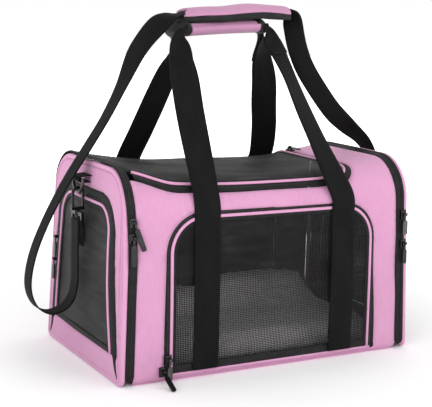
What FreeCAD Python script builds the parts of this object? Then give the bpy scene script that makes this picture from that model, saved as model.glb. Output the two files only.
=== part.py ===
import FreeCAD, Part
import math
import os
from FreeCAD import Vector, Placement, Rotation

# Soft-sided pet carrier. Millimetres, +Z up, front is -Y, origin on the floor
# under the middle of the bag.

# ---- body ----
LENGTH = 445.0
WIDTH = 256.0
HEIGHT = 272.0
BODY_HEIGHT = 268.0
SIDE_LEAN = 7.0
END_LEAN = 8.0
SHOULDER_R = 55.0
BOTTOM_R = 10.0
WALL = 3.6
CLEAR = 0.5

# ---- ends: piping and the zip that runs round each arch ----
PIPING_R = 3.4
PIPING_INSET = 3.6
ZIP_IN = 8.0
ZIP_OUT = 19.0
PANEL_START = 19.5

# ---- front door ----
FRONT_HALF = 163.0
FRONT_LOW = 8.0
FRONT_TOP = 220.0
FRONT_CORNER = 56.0
TAPE = 5.0
PIPE_W = 3.6
BORDER = 8.0
MESH = 1.2
DOOR_T = 2.6

# ---- end doors ----
END_LOW = 34.0
END_TOP = 230.0
END_HALF_LOW = 108.0
END_HALF_TOP = 95.0
END_CORNER = 46.0
ZIP_FOOT = 7.0

# ---- top door ----
TOP_X0 = -194.5
TOP_X1 = 140.0
TOP_HALF = 112.0
TOP_CORNER = 34.0

# ---- handles ----
WEB = 37.0
WEB_T = 1.6
STRAP_X = 104.0
STITCH_Z = 197.0
LEAVE_Z = 222.0
GRIP_X = -19.0
GRIP_Z = 446.0
GRIP_HALF = 66.0

# ---- shoulder strap and its metal ----
BELT = 25.0
BELT_RUN = 28.0
BELT_T = 1.6
RING_Z = 228.0
RING_X = 230.0
WIRE_R = 2.0
PAD_LEN = 178.0
PAD_W = 54.0


def box(x0, x1, y0, y1, z0, z1):
    return Part.makeBox(x1 - x0, y1 - y0, z1 - z0, Vector(x0, y0, z0))


def rod(p0, p1, r):
    a = Vector(*p0)
    b = Vector(*p1)
    return Part.makeCylinder(r, (b - a).Length, a, b - a)


def fuse(shapes):
    out = shapes[0]
    for s in shapes[1:]:
        out = out.fuse(s)
    return out.removeSplitter()


def turned(shape, centre, axis, angle):
    out = shape.copy()
    out.rotate(Vector(*centre), Vector(*axis), angle)
    return out


def mirror_x(shape):
    return shape.mirror(Vector(0, 0, 0), Vector(1, 0, 0))


def mirror_y(shape):
    return shape.mirror(Vector(0, 0, 0), Vector(0, 1, 0))


# ---- the bag's outline: an arch in section, with leaning walls ----
def arch_wire(inset, height):
    half = WIDTH / 2.0 - inset
    sh = WIDTH / 2.0 - SIDE_LEAN
    r = SHOULDER_R - inset
    zs = height - SHOULDER_R
    yc = sh - SHOULDER_R
    rb = BOTTOM_R - inset
    yb = WIDTH / 2.0 - BOTTOM_R
    k = math.sqrt(0.5)
    pts = {
        "b0": Vector(0, -yb, inset),
        "bm": Vector(0, -yb - rb * k, BOTTOM_R - rb * k),
        "b1": Vector(0, -half, BOTTOM_R),
        "s0": Vector(0, -yc - r, zs),
        "sm": Vector(0, -yc - r * k, zs + r * k),
        "s1": Vector(0, -yc, zs + r),
    }
    m = {key: Vector(0, -p.y, p.z) for key, p in pts.items()}
    edges = []
    edges.append(Part.Arc(pts["b0"], pts["bm"], pts["b1"]).toShape())
    edges.append(Part.LineSegment(pts["b1"], pts["s0"]).toShape())
    edges.append(Part.Arc(pts["s0"], pts["sm"], pts["s1"]).toShape())
    edges.append(Part.LineSegment(pts["s1"], m["s1"]).toShape())
    edges.append(Part.Arc(m["s1"], m["sm"], m["s0"]).toShape())
    edges.append(Part.LineSegment(m["s0"], m["b1"]).toShape())
    edges.append(Part.Arc(m["b1"], m["bm"], m["b0"]).toShape())
    edges.append(Part.LineSegment(m["b0"], pts["b0"]).toShape())
    return Part.Wire(edges)


def arch_solid(inset, height):
    face = Part.Face(arch_wire(inset, height))
    face.translate(Vector(-LENGTH / 2.0 - 10, 0, 0))
    return face.extrude(Vector(LENGTH + 20, 0, 0))


def end_x(z, depth):
    return LENGTH / 2.0 - END_LEAN * z / HEIGHT - depth


def slab(d0, d1):
    # the slice of space between two depths under the leaning left end
    pts = [
        Vector(-end_x(-20, d0), -200, -20),
        Vector(-end_x(300, d0), -200, 300),
        Vector(-end_x(300, d1), -200, 300),
        Vector(-end_x(-20, d1), -200, -20),
    ]
    return Part.Face(Part.makePolygon(pts + pts[:1])).extrude(Vector(0, 400, 0))


def between_ends(depth):
    pts = [
        Vector(-end_x(-20, depth), -200, -20),
        Vector(-end_x(300, depth), -200, 300),
        Vector(end_x(300, depth), -200, 300),
        Vector(end_x(-20, depth), -200, -20),
    ]
    return Part.Face(Part.makePolygon(pts + pts[:1])).extrude(Vector(0, 400, 0))


def skin(inset0, inset1, height):
    return arch_solid(inset0, height).cut(arch_solid(inset1, height))


# ---- door outlines: flat bottom, straight sides, round top corners ----
def door_face(half_low, half_top, z0, z1, r, inset, open_foot=False):
    lo = half_low - inset
    hi = half_top - inset
    top = z1 - inset
    rr = max(r - inset, 1.0)
    zb = z0 if open_foot else z0 + inset
    k = math.sqrt(0.5)
    p = [
        Vector(-lo, 0, zb),
        Vector(-hi, 0, top - rr),
        Vector(-hi + rr - rr * k, 0, top - rr + rr * k),
        Vector(-hi + rr, 0, top),
        Vector(hi - rr, 0, top),
        Vector(hi - rr + rr * k, 0, top - rr + rr * k),
        Vector(hi, 0, top - rr),
        Vector(lo, 0, zb),
    ]
    edges = [
        Part.LineSegment(p[0], p[1]).toShape(),
        Part.Arc(p[1], p[2], p[3]).toShape(),
        Part.LineSegment(p[3], p[4]).toShape(),
        Part.Arc(p[4], p[5], p[6]).toShape(),
        Part.LineSegment(p[6], p[7]).toShape(),
        Part.LineSegment(p[7], p[0]).toShape(),
    ]
    return Part.Face(Part.Wire(edges))


def door_plate(inset, y0, y1, spec, open_foot=True):
    face = door_face(spec[0], spec[1], spec[2], spec[3], spec[4], inset, open_foot)
    face.translate(Vector(0, y0, 0))
    return face.extrude(Vector(0, y1 - y0, 0))


FRONT = (FRONT_HALF, FRONT_HALF, FRONT_LOW, FRONT_TOP, FRONT_CORNER)
END = (END_HALF_LOW, END_HALF_TOP, END_LOW, END_TOP, END_CORNER)
LEAN_ANGLE = math.degrees(math.atan2(SIDE_LEAN, HEIGHT - SHOULDER_R - BOTTOM_R))
END_ANGLE = math.degrees(math.atan2(END_LEAN, HEIGHT))


def on_front(shape):
    # a piece drawn with its outer face on y = 0 goes onto the leaning front wall
    out = shape.copy()
    out.rotate(Vector(0, 0, BOTTOM_R), Vector(1, 0, 0), -LEAN_ANGLE)
    out.translate(Vector(0, -WIDTH / 2.0, 0))
    return out


def on_left(shape):
    # the same for the leaning left end: first it faces -X
    out = shape.copy()
    out.rotate(Vector(0, 0, 0), Vector(0, 0, 1), -90)
    out.rotate(Vector(0, 0, 0), Vector(0, 1, 0), END_ANGLE)
    out.translate(Vector(-LENGTH / 2.0, 0, 0))
    return out


# ---- main panels ----
body_skin = skin(0, WALL, BODY_HEIGHT).common(between_ends(PANEL_START))
floor_cut = box(-300, 300, -117.5, 117.5, -5, 30)
front_hole = on_front(door_plate(0, -30, 40, FRONT).fuse(
    box(-FRONT_HALF, FRONT_HALF, -30, 40, FRONT_LOW - 3, FRONT_LOW + 1)))
back_hole = mirror_y(on_front(door_plate(8, -30, 40, FRONT, open_foot=False)))


def plan_prism(x0, x1, half, r, z0, z1):
    k = math.sqrt(0.5)
    c = r * (1 - k)
    p = [
        Vector(x0, -half, z0),
        Vector(x1 - r, -half, z0),
        Vector(x1 - c, -half + c, z0),
        Vector(x1, -half + r, z0),
        Vector(x1, half, z0),
        Vector(x0, half, z0),
    ]
    edges = [
        Part.LineSegment(p[0], p[1]).toShape(),
        Part.Arc(p[1], p[2], p[3]).toShape(),
        Part.LineSegment(p[3], p[4]).toShape(),
        Part.LineSegment(p[4], p[5]).toShape(),
        Part.LineSegment(p[5], p[0]).toShape(),
    ]
    return Part.Face(Part.Wire(edges)).extrude(Vector(0, 0, z1 - z0))


top_hole = plan_prism(TOP_X0 - 10, TOP_X1, TOP_HALF, TOP_CORNER, 225, 300)
walls = body_skin.cut(top_hole).cut(front_hole).cut(back_hole).cut(floor_cut)
front_panel = walls.common(box(-300, 300, -200, -78.2, -5, 300))
back_panel = walls.common(box(-300, 300, 78.2, 200, -5, 300))
top_panel = walls.common(box(-300, 300, -78, 78, 230, 300))
bottom_panel = box(-213, 213, -117, 117, 0, 3)
base_board = box(-208, 208, -114, 114, 3.6, 7)


# ---- ends ----
end_core = arch_solid(PIPING_R + 1.2, HEIGHT)
end_hole = on_left(door_plate(0, -30, 40, END))
left_end_panel = end_core.common(slab(0.4, 0.4 + WALL)).cut(end_hole)
left_end_panel = left_end_panel.cut(on_left(box(-13.6, 13.6, -30, 40, 241.4, 250.6)))
piping_ring = skin(-0.6, 3.8, HEIGHT).common(slab(PIPING_INSET - 3.4, PIPING_INSET + 3.4))
piping_ring = piping_ring.cut(box(-300, 300, -300, 300, -10, 0))
edge_pipings = Part.makeCompound([piping_ring, mirror_x(piping_ring)])
zip_ring = skin(0.2, 3.2, HEIGHT).common(slab(ZIP_IN, ZIP_OUT)).cut(floor_cut)


# ---- zip tapes that stay on the bag, round each door ----
def tape_round(spec, y0, y1, tape):
    outer = door_plate(0.3, y0, y1, spec)
    inner = door_plate(tape, y0 - 1, y1 + 1, spec)
    return outer.cut(inner)


front_tape = on_front(tape_round(FRONT, 0.3, 2.6, TAPE))
end_tape = on_left(tape_round(END, 0.7, 3.2, TAPE))
foot_strip = on_left(box(-END_HALF_LOW, -END_HALF_LOW + 10, -0.9, 0.2, ZIP_FOOT, END_LOW - 1))
foot_strips = [foot_strip, mirror_y(foot_strip), mirror_x(foot_strip), mirror_x(mirror_y(foot_strip))]
top_tape_plan = plan_prism(TOP_X0 - 8, TOP_X1 - 0.3, TOP_HALF - 0.3, TOP_CORNER, 225, 300)
top_tape_plan = top_tape_plan.cut(
    plan_prism(TOP_X0 - 20, TOP_X1 - TAPE, TOP_HALF - TAPE, TOP_CORNER - TAPE, 220, 310))
top_tape = skin(0.3, 2.8, BODY_HEIGHT).common(top_tape_plan)
top_tape = top_tape.cut(box(-300, 300, 90, 200, 200, 300)).common(between_ends(PANEL_START))
tapes = [zip_ring, mirror_x(zip_ring), front_tape, end_tape, mirror_x(end_tape), top_tape] + foot_strips
zip_tapes = Part.makeCompound(tapes)

# ---- tabs that hold the rings ----
tab_out = rod((-RING_X, -13, 246), (-RING_X, 13, 246), 4.4)
tab_out = tab_out.fuse(box(-RING_X, -214.6, -13, 13, 241.8, 250.2))
tab_in = rod((-RING_X, -20, 246), (-RING_X, 20, 246), 2.8)
ring_tab = tab_out.cut(tab_in)
ring_tabs = Part.makeCompound([ring_tab, mirror_x(ring_tab)])

# ---- back window ----
window = mirror_y(on_front(door_plate(8.4, 0.4, 3.0, FRONT, open_foot=False)))
window_in = mirror_y(on_front(door_plate(14, -1, 6, FRONT, open_foot=False)))
window_mesh = mirror_y(on_front(door_plate(14.4, 1.0, 2.4, FRONT, open_foot=False)))
back_window_trim = window.cut(window_in)
back_window_mesh = window_mesh

# ---- front door ----
front_tape_in = door_plate(TAPE + CLEAR, 0.3, 0.3 + DOOR_T, FRONT)
front_hollow = door_plate(TAPE + 4.5 + PIPE_W, -1, 6, FRONT)
front_hollow = front_hollow.common(box(-300, 300, -9, 9, FRONT_LOW + BORDER, 300))
front_trim = front_tape_in.cut(front_hollow)
pipe_out = door_plate(TAPE + 4.5, -1.0, 0.3, FRONT)
pipe_in = door_plate(TAPE + 4.5 + PIPE_W, -2, 1, FRONT)
front_trim = front_trim.fuse(pipe_out.cut(pipe_in))
front_mesh = door_plate(TAPE + 4.9 + PIPE_W, 0.9, 0.9 + MESH, FRONT)
front_mesh = front_mesh.common(box(-300, 300, -9, 9, FRONT_LOW + BORDER + 0.4, 300))
hinge_cord_f = rod((-150, 0.9, FRONT_LOW - 1.1), (150, 0.9, FRONT_LOW - 1.1), 1.4)
front_door_trim = on_front(front_trim.fuse(hinge_cord_f))
front_door_mesh = on_front(front_mesh)


def sewn_strap(x):
    return box(x - WEB / 2, x + WEB / 2, -1.3 - WEB_T, -1.3, FRONT_LOW + 3, STITCH_Z - 1.4)


front_straps = [on_front(sewn_strap(-STRAP_X)), on_front(sewn_strap(STRAP_X))]
front_sewn_straps = Part.makeCompound(front_straps)
back_sewn_straps = Part.makeCompound([mirror_y(s) for s in front_straps])

# ---- top door: a piece of the arch ----
top_plan = plan_prism(TOP_X0, TOP_X1 - TAPE - CLEAR, TOP_HALF - TAPE - CLEAR, TOP_CORNER - TAPE, 225, 300)
top_plan = top_plan.fuse(box(TOP_X0, TOP_X1 - TAPE - CLEAR, 60, TOP_HALF - 1.0, 225, 300))
top_plan_in = plan_prism(TOP_X0 + 8, TOP_X1 - 15, TOP_HALF - 15, TOP_CORNER - 12, 220, 310)
top_plan_mesh = plan_prism(TOP_X0 + 8.4, TOP_X1 - 15.4, TOP_HALF - 15.4, TOP_CORNER - 12, 220, 310)
top_trim = skin(0.3, 2.9, BODY_HEIGHT).common(top_plan.cut(top_plan_in))
top_door_mesh = skin(1.2, 2.4, BODY_HEIGHT).common(top_plan_mesh)
arch_y = WIDTH / 2 - SIDE_LEAN - SHOULDER_R
TOP_HINGE_Y = TOP_HALF - 1.2
TOP_HINGE_Z = BODY_HEIGHT - SHOULDER_R + math.sqrt(SHOULDER_R ** 2 - (TOP_HINGE_Y - arch_y) ** 2)
hinge_cord_t = rod((TOP_X0, TOP_HINGE_Y, TOP_HINGE_Z), (TOP_X1 - 12, TOP_HINGE_Y, TOP_HINGE_Z), 1.2)
top_door_trim = top_trim.fuse(hinge_cord_t).cut(box(-300, 300, TOP_HALF - 0.1, 200, 0, 300))

# ---- end doors ----
end_tape_in = door_plate(TAPE + CLEAR, 0.6, 0.6 + DOOR_T, END)
end_hollow = door_plate(TAPE + 4.0 + PIPE_W, -1, 6, END)
end_hollow = end_hollow.common(box(-300, 300, -9, 9, END_LOW + 7, 300))
end_trim = end_tape_in.cut(end_hollow)
end_pipe = door_plate(TAPE + 4.0, -0.7, 0.6, END).cut(door_plate(TAPE + 4.0 + PIPE_W, -2, 1, END))
END_HINGE_Z = END_LOW + 1.9
hinge_cord_e = rod((-100, 2.0, END_HINGE_Z), (100, 2.0, END_HINGE_Z), 1.3)
end_trim = end_trim.cut(box(-300, 300, -9, 9, 0, END_HINGE_Z)).fuse(end_pipe.cut(
    box(-300, 300, -9, 9, 0, END_HINGE_Z))).fuse(hinge_cord_e)
end_mesh = door_plate(TAPE + 4.4 + PIPE_W, 1.2, 1.2 + MESH, END)
end_mesh = end_mesh.common(box(-300, 300, -9, 9, END_LOW + 7.4, 300))
left_door_trim = on_left(end_trim)
left_door_mesh = on_left(end_mesh)


# ---- flat ribbons laid along a path ----
def flat_face(points):
    return Part.Face(Part.makePolygon(points + points[:1]))


def ribbon(rows, thick):
    # each row: centre, direction of the width, width
    rings = []
    for i, (point, wide, width) in enumerate(rows):
        t = Vector(*rows[min(i + 1, len(rows) - 1)][0]) - Vector(*rows[max(i - 1, 0)][0])
        t.normalize()
        w = Vector(*wide)
        w = w - t * w.dot(t)
        w.normalize()
        n = t.cross(w)
        c = Vector(*point)
        a = w * (width / 2.0)
        b = n * (thick / 2.0)
        rings.append([c - a - b, c + a - b, c + a + b, c - a + b])
    # a twisted band of flat triangles, cut along the same diagonal over both broad faces
    faces = [flat_face(rings[0]), flat_face(rings[-1])]
    for low, high in zip(rings, rings[1:]):
        for k in range(4):
            a, b, c, d = low[k], low[(k + 1) % 4], high[(k + 1) % 4], high[k]
            if k == 2:
                faces += [flat_face([a, b, d]), flat_face([b, c, d])]
            else:
                faces += [flat_face([a, b, c]), flat_face([a, c, d])]
    shell = Part.makeShell(faces)
    shell.sewShape()
    out = Part.makeSolid(shell)
    if out.Volume < 0:
        out.reverse()
    return out


FACE_Y = -WIDTH / 2.0 + SIDE_LEAN * (STITCH_Z - BOTTOM_R) / (BODY_HEIGHT - SHOULDER_R - BOTTOM_R)


OUT = FACE_Y - 2.5
ALONG = (1, 0, 0)
OVER = (0, 1, 0)

# each leg: from its stitch line up the shoulder of the bag, then free to the grip
FRONT_LEFT = [
    ((-STRAP_X, OUT, STITCH_Z), ALONG, WEB),
    ((-104.2, OUT + 0.6, LEAVE_Z), ALONG, WEB),
    ((-105.5, OUT + 9.5, 250), ALONG, WEB),
    ((-105.5, -90, 298), (1, -0.2, 0.05), WEB),
    ((-104, -67, 338), (1, -0.35, 0.1), WEB),
    ((-101.5, -46, 378), (1, -0.3, 0.1), WEB),
    ((-98, -30, 407), (1, -0.05, 0), 34),
    ((-93, -19, 425), (0.85, 0.55, 0), 29),
    ((-89, -15, 435.5), (0.4, 0.9, 0), 23),
    ((-85, -13, GRIP_Z), OVER, 18),
]
FRONT_RIGHT = [
    ((STRAP_X, OUT, STITCH_Z), ALONG, WEB),
    ((103.7, OUT + 0.6, LEAVE_Z), (1, 0.05, 0), WEB),
    ((93.5, OUT + 9.5, 250), (1, 0.15, 0.1), WEB),
    ((81, -90, 295), (0.87, 0.4, 0.15), WEB),
    ((70, -68, 336), (0.85, 0.5, 0.15), WEB),
    ((60, -46, 378), (0.83, 0.55, 0.1), 36),
    ((53, -30, 406), (0.93, 0.35, 0), 34),
    ((51, -20.5, 420), (0.95, 0.2, 0), 31),
    ((51.5, -16, 432), (0.7, 0.65, 0), 24),
    ((46.5, -13, GRIP_Z), OVER, 18),
]
BACK_LEFT = [
    ((-STRAP_X, -OUT, STITCH_Z), ALONG, WEB),
    ((-104.2, -OUT - 0.6, LEAVE_Z), ALONG, WEB),
    ((-107, -OUT - 8.8, 250), (1, 0, -0.1), WEB),
    ((-99, 90, 294), (0.95, 0.1, -0.3), WEB),
    ((-90, 67, 338), (0.92, 0.15, -0.35), WEB),
    ((-83, 47, 376), (0.9, 0.2, -0.3), 35),
    ((-79, 33, 402), (0.9, 0.35, -0.2), 30),
    ((-84, 22, 422), (0.6, 0.8, 0), 24),
    ((-91, 15, 437.5), (0.2, 1, 0), 20),
    ((-85, 13, GRIP_Z), OVER, 18),
]
BACK_RIGHT = [
    ((STRAP_X, -OUT, STITCH_Z), ALONG, WEB),
    ((104.3, -OUT - 0.6, LEAVE_Z), ALONG, WEB),
    ((115.5, -OUT - 8.8, 250), (1, -0.2, 0), WEB),
    ((104.5, 90, 292), (0.9, -0.45, 0.05), WEB),
    ((90, 69, 332), (0.9, -0.4, 0), WEB),
    ((77, 50, 368), (1, -0.1, 0), WEB),
    ((64, 34, 400), (1, 0.3, 0), 34),
    ((55, 22, 422), (0.7, 0.7, 0), 26),
    ((51.5, 15, 437.5), (0.2, 1, 0), 20),
    ((46.5, 13, GRIP_Z), OVER, 18),
]


def handle_webbing(left, right, y):
    out = ribbon(left + right[::-1], WEB_T)
    for sx in (-STRAP_X, STRAP_X):
        out = out.fuse(rod((sx - WEB / 2, y, STITCH_Z), (sx + WEB / 2, y, STITCH_Z), 1.0))
    return out


front_handle_webbing = handle_webbing(FRONT_LEFT, FRONT_RIGHT, OUT)
back_handle_webbing = handle_webbing(BACK_LEFT, BACK_RIGHT, -OUT)

# ---- padded sleeve round both handles, closed by a flap ----
SLEEVE_Y = 25.0
SLEEVE_Z = 5.2


def oval(half_len, ry, rz, z):
    out = Part.makeCylinder(rz, 2 * half_len, Vector(GRIP_X - half_len, -(ry - rz), z), Vector(1, 0, 0))
    other = Part.makeCylinder(rz, 2 * half_len, Vector(GRIP_X - half_len, ry - rz, z), Vector(1, 0, 0))
    mid = box(GRIP_X - half_len, GRIP_X + half_len, -(ry - rz), ry - rz, z - rz, z + rz)
    return fuse([out, other, mid])


sleeve = oval(GRIP_HALF - 4, SLEEVE_Y + 3, SLEEVE_Z + 2.6, GRIP_Z + 0.5)
sleeve = sleeve.cut(oval(GRIP_HALF + 4, SLEEVE_Y - 1, SLEEVE_Z - 1.6, GRIP_Z + 0.5))
wrap_flap = oval(GRIP_HALF - 5, SLEEVE_Y + 6.2, SLEEVE_Z + 5.6, GRIP_Z + 0.5)
wrap_flap = wrap_flap.cut(oval(GRIP_HALF + 4, SLEEVE_Y + 3.8, SLEEVE_Z + 3.4, GRIP_Z + 0.5))
wrap_flap = wrap_flap.common(box(-200, 200, -60, 12, GRIP_Z - 40, GRIP_Z + 1.0))
FLAP_Y = -(SLEEVE_Y + 5.0)
FLAP_Z = GRIP_Z + 1.6
flap_cord = rod((GRIP_X - 56, FLAP_Y, FLAP_Z), (GRIP_X + 56, FLAP_Y, FLAP_Z), 1.1)
wrap_flap = wrap_flap.fuse(flap_cord)
handle_wrap = sleeve

# ---- shoulder pad: a long boat-shaped cushion bent over the grip ----
PAD_Z = GRIP_Z + 11.0
PAD_HALF = PAD_W / 2.0
pad_wires = []
for i in range(13):
    u = i / 6.0 - 1.0
    k = 1 - 0.32 * abs(u) ** 3
    drop = -3.0 * u * u
    shape = [(-1.0, 0.0), (-1.0, 4.0), (-0.66, 10.5), (-0.3, 14.0), (0.3, 14.0), (0.66, 10.5),
             (1.0, 4.0), (1.0, 0.0), (0.6, 3.2), (-0.6, 3.2)]
    pts = [Vector(u * PAD_LEN / 2.0, a * PAD_HALF * k, PAD_Z + b + drop) for a, b in shape]
    pad_wires.append(Part.makePolygon(pts + pts[:1]))
shoulder_pad = Part.makeLoft(pad_wires, True, True)

# ---- shoulder strap: one long ribbon, from the left eye over the grip to the right eye ----
EYE_Z = 190.0
TOP_Z = PAD_Z + 15.4
ACROSS = (0, 1, 0)


def eye_turn(side):
    # up the inner side, round the bar of the swivel eye and down the outer side
    rows = [((side * 226.4, 0, 158), ACROSS, BELT)]
    for k in range(7):
        t = math.pi * k / 6.0
        px = side * (RING_X - 3.6 * math.cos(t))
        rows.append(((px, 0, EYE_Z + 3.6 * math.sin(t)), ACROSS, BELT))
    return rows


LEFT_RUN = [
    (-233.0, 160.0, ACROSS),
    (-232.5, 124.0, ACROSS),
    (-238.0, 97.0, ACROSS),
    (-252.0, 82.0, ACROSS),
    (-272.0, 81.0, ACROSS),
    (-290.0, 96.0, ACROSS),
    (-297.0, 124.0, ACROSS),
    (-290.0, 160.0, ACROSS),
    (-271.0, 204.0, ACROSS),
    (-246.0, 245.0, ACROSS),
    (-219.0, 284.0, ACROSS),
    (-193.0, 324.0, ACROSS),
    (-171.0, 365.0, (-0.1, 1, 0.05)),
    (-153.0, 405.0, (-0.4, 0.85, 0.25)),
    (-139.0, 430.0, (-0.5, 0.75, 0.35)),
    (-122.0, 451.0, (-0.5, 0.7, 0.4)),
    (-104.0, 465.0, (-0.2, 0.9, 0.2)),
    (-91.0, TOP_Z - 1.0, ACROSS),
]
RIGHT_RUN = [
    (92.0, TOP_Z - 2.5, ACROSS),
    (97.0, 458.0, (-0.3, 0.9, -0.1)),
    (98.5, 438.0, (-0.7, 0.5, -0.2)),
    (104.0, 415.0, (-0.8, 0.4, -0.35)),
    (117.0, 390.0, (-0.8, 0.38, -0.42)),
    (139.0, 361.0, (-0.78, 0.36, -0.5)),
    (168.0, 325.0, (-0.75, 0.36, -0.55)),
    (198.0, 297.0, (-0.65, 0.6, -0.45)),
    (224.0, 277.0, (-0.3, 1, -0.2)),
    (242.0, 252.0, ACROSS),
    (248.0, 224.0, ACROSS),
    (249.0, 200.0, ACROSS),
    (249.0, 176.0, ACROSS),
    (244.0, 161.0, ACROSS),
    (236.5, 164.0, ACROSS),
]
middle = [((u * 84.0, 0, TOP_Z + 1.2 * (1 - u * u)), ACROSS, BELT_RUN) for u in (-1.0, -0.5, 0.0, 0.5, 1.0)]


def belt_width(z):
    # the belt is narrower where it goes through the metal
    return BELT + (BELT_RUN - BELT) * max(0.0, min(1.0, (z - 215.0) / 60.0))


rows = eye_turn(-1)
rows += [((x, 0, z), wide, belt_width(z)) for x, z, wide in LEFT_RUN]
rows += middle
rows += [((x, 0, z), wide, belt_width(z)) for x, z, wide in RIGHT_RUN]
rows += eye_turn(1)[::-1]
strap_webbing = ribbon(rows, BELT_T)

# ---- metal at the left end: ring, hook, gate, swivel eye ----
X = -RING_X
Z = RING_Z


RING_HALF = 15.5
BAR_Z = 246.0
BEND_Z = BAR_Z - 2.5


def d_face(half, top):
    # flat top edge, short sides and a half circle below
    a = Vector(X, -half, top)
    b = Vector(X, half, top)
    c = Vector(X, half, BEND_Z)
    low = Vector(X, 0, BEND_Z - half)
    d = Vector(X, -half, BEND_Z)
    edges = [Part.LineSegment(a, b).toShape(), Part.LineSegment(b, c).toShape()]
    edges.append(Part.Arc(c, low, d).toShape())
    edges.append(Part.LineSegment(d, a).toShape())
    return Part.Face(Part.Wire(edges))


def make_ring():
    # a D: straight bar in the tab, half a circle hanging below it
    outer = d_face(RING_HALF + WIRE_R, BAR_Z + WIRE_R).extrude(Vector(2 * WIRE_R, 0, 0))
    inner = d_face(RING_HALF - WIRE_R, BAR_Z - WIRE_R).extrude(Vector(2 * WIRE_R, 0, 0))
    band = outer.cut(inner)
    band.translate(Vector(-WIRE_R, 0, 0))
    flat = [e for e in band.Edges if e.BoundBox.XLength < 0.01]
    return band.makeFillet(1.7, flat)


left_ring = make_ring()
half_loop = Part.makeTorus(7.0, WIRE_R, Vector(X, 0, Z - 1.4), Vector(0, 1, 0))
half_loop = half_loop.common(box(X - 12, X + 12, -4, 4, Z - 1.4, Z + 20))
hook = fuse([
    half_loop,
    rod((X + 7, 0, Z - 20), (X + 7, 0, Z - 1.4), WIRE_R),
    rod((X - 7, 0, Z - 5), (X - 7, 0, Z - 1.4), WIRE_R),
    box(X - 9.5, X + 9, -2.5, 2.5, Z - 23.5, Z - 19.5),
    rod((X, 0, Z - 31.5), (X, 0, Z - 20), 1.8),
    rod((X, 0, Z - 33.5), (X, 0, Z - 30.8), 3.4),
])
left_hook = hook
gate_pin = rod((X - 7, -2.5, Z - 17.2), (X - 7, 2.5, Z - 17.2), 1.7)
left_gate = gate_pin.fuse(rod((X - 7, 0, Z - 17.2), (X - 7, 0, Z - 5.6), 1.5))
eye = box(X - 1.9, X + 1.9, -17, 17, EYE_Z - 1.6, Z - 25)
eye = eye.cut(box(X - 5, X + 5, -13.4, 13.4, EYE_Z + 1.4, Z - 29.9))
eye = eye.fuse(rod((X, 0, Z - 29.9), (X, 0, Z - 25), 4.4))
eye = eye.cut(rod((X, 0, Z - 34), (X, 0, Z - 20), 2.3))
left_swivel_eye = eye

# ---- sliding buckle on the right leg of the strap ----
adjuster = box(-3.2, 3.2, -16.5, 16.5, -10, 10).cut(box(-1.7, 1.7, -13.2, 13.2, -12, 12))
adjuster = adjuster.cut(box(-5, 5, -13.2, 13.2, -5.5, 5.5))
adjuster.translate(Vector(249.0, 0, 191))
strap_adjuster = adjuster

# ---- fleece bed: a thick mat with a raised back rest ----
mat = box(-196, 196, -106, 106, 8, 40)
mat = mat.makeFillet(9, [e for e in mat.Edges if e.BoundBox.ZMin > 39])
rest_wire = Part.makePolygon([
    Vector(-120, 20, 34), Vector(-120, 104, 34), Vector(-120, 104, 66),
    Vector(-120, 84, 74), Vector(-120, 58, 66), Vector(-120, 20, 34)])
back_rest = Part.Face(rest_wire).extrude(Vector(270, 0, 0))
bed_pad = fuse([mat, back_rest])


# ---- zip sliders and pulls, drawn on the front wall at the origin ----
PIN_Y = -6.1
PIN_Z = 0.2


def make_slider():
    plate = box(-4.2, 4.2, -3.4, -0.5, -6.5, 6.0)
    plate = plate.makeFillet(1.2, [e for e in plate.Edges if e.BoundBox.YMax < -3.3])
    posts = [box(-3.4, -2.2, -7.2, -3.0, -1.8, 2.2), box(2.2, 3.4, -7.2, -3.0, -1.8, 2.2)]
    pin = rod((-3.0, PIN_Y, PIN_Z), (3.0, PIN_Y, PIN_Z), 0.8)
    return fuse([plate] + posts + [pin])


def make_pull(length, width):
    eye_out = rod((-1.3, PIN_Y, PIN_Z), (1.3, PIN_Y, PIN_Z), 2.3)
    arm = box(-1.3, 1.3, PIN_Y - 0.8, PIN_Y + 0.8, -9.0, PIN_Z)
    plate = box(-width / 2, width / 2, PIN_Y - 1.0, PIN_Y + 1.0, -length, -8.0)
    plate = plate.makeFillet(2.4, [e for e in plate.Edges if e.BoundBox.YLength > 1.5])
    hole = rod((-4, PIN_Y, PIN_Z), (4, PIN_Y, PIN_Z), 1.4)
    return fuse([eye_out, arm, plate]).cut(hole)


def end_half(z):
    # half the end door's opening at a height on its straight side
    run = END_TOP - END_CORNER - END_LOW
    return END_HALF_LOW - (END_HALF_LOW - END_HALF_TOP) * (z - END_LOW) / run


def placed(shape, wall, across, z, lift, tilt=0.0, swing=0.0):
    out = shape.copy()
    if swing:
        out.rotate(Vector(0, PIN_Y, PIN_Z), Vector(1, 0, 0), -swing)
    if tilt:
        out.rotate(Vector(0, PIN_Y, PIN_Z), Vector(0, 1, 0), tilt)
    out.translate(Vector(across, -lift, z))
    if wall == "front":
        return on_front(out)
    if wall == "left":
        return on_left(out)
    return mirror_x(on_left(out))


DOOR_EDGE = -FRONT_HALF + TAPE + 0.2
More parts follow.
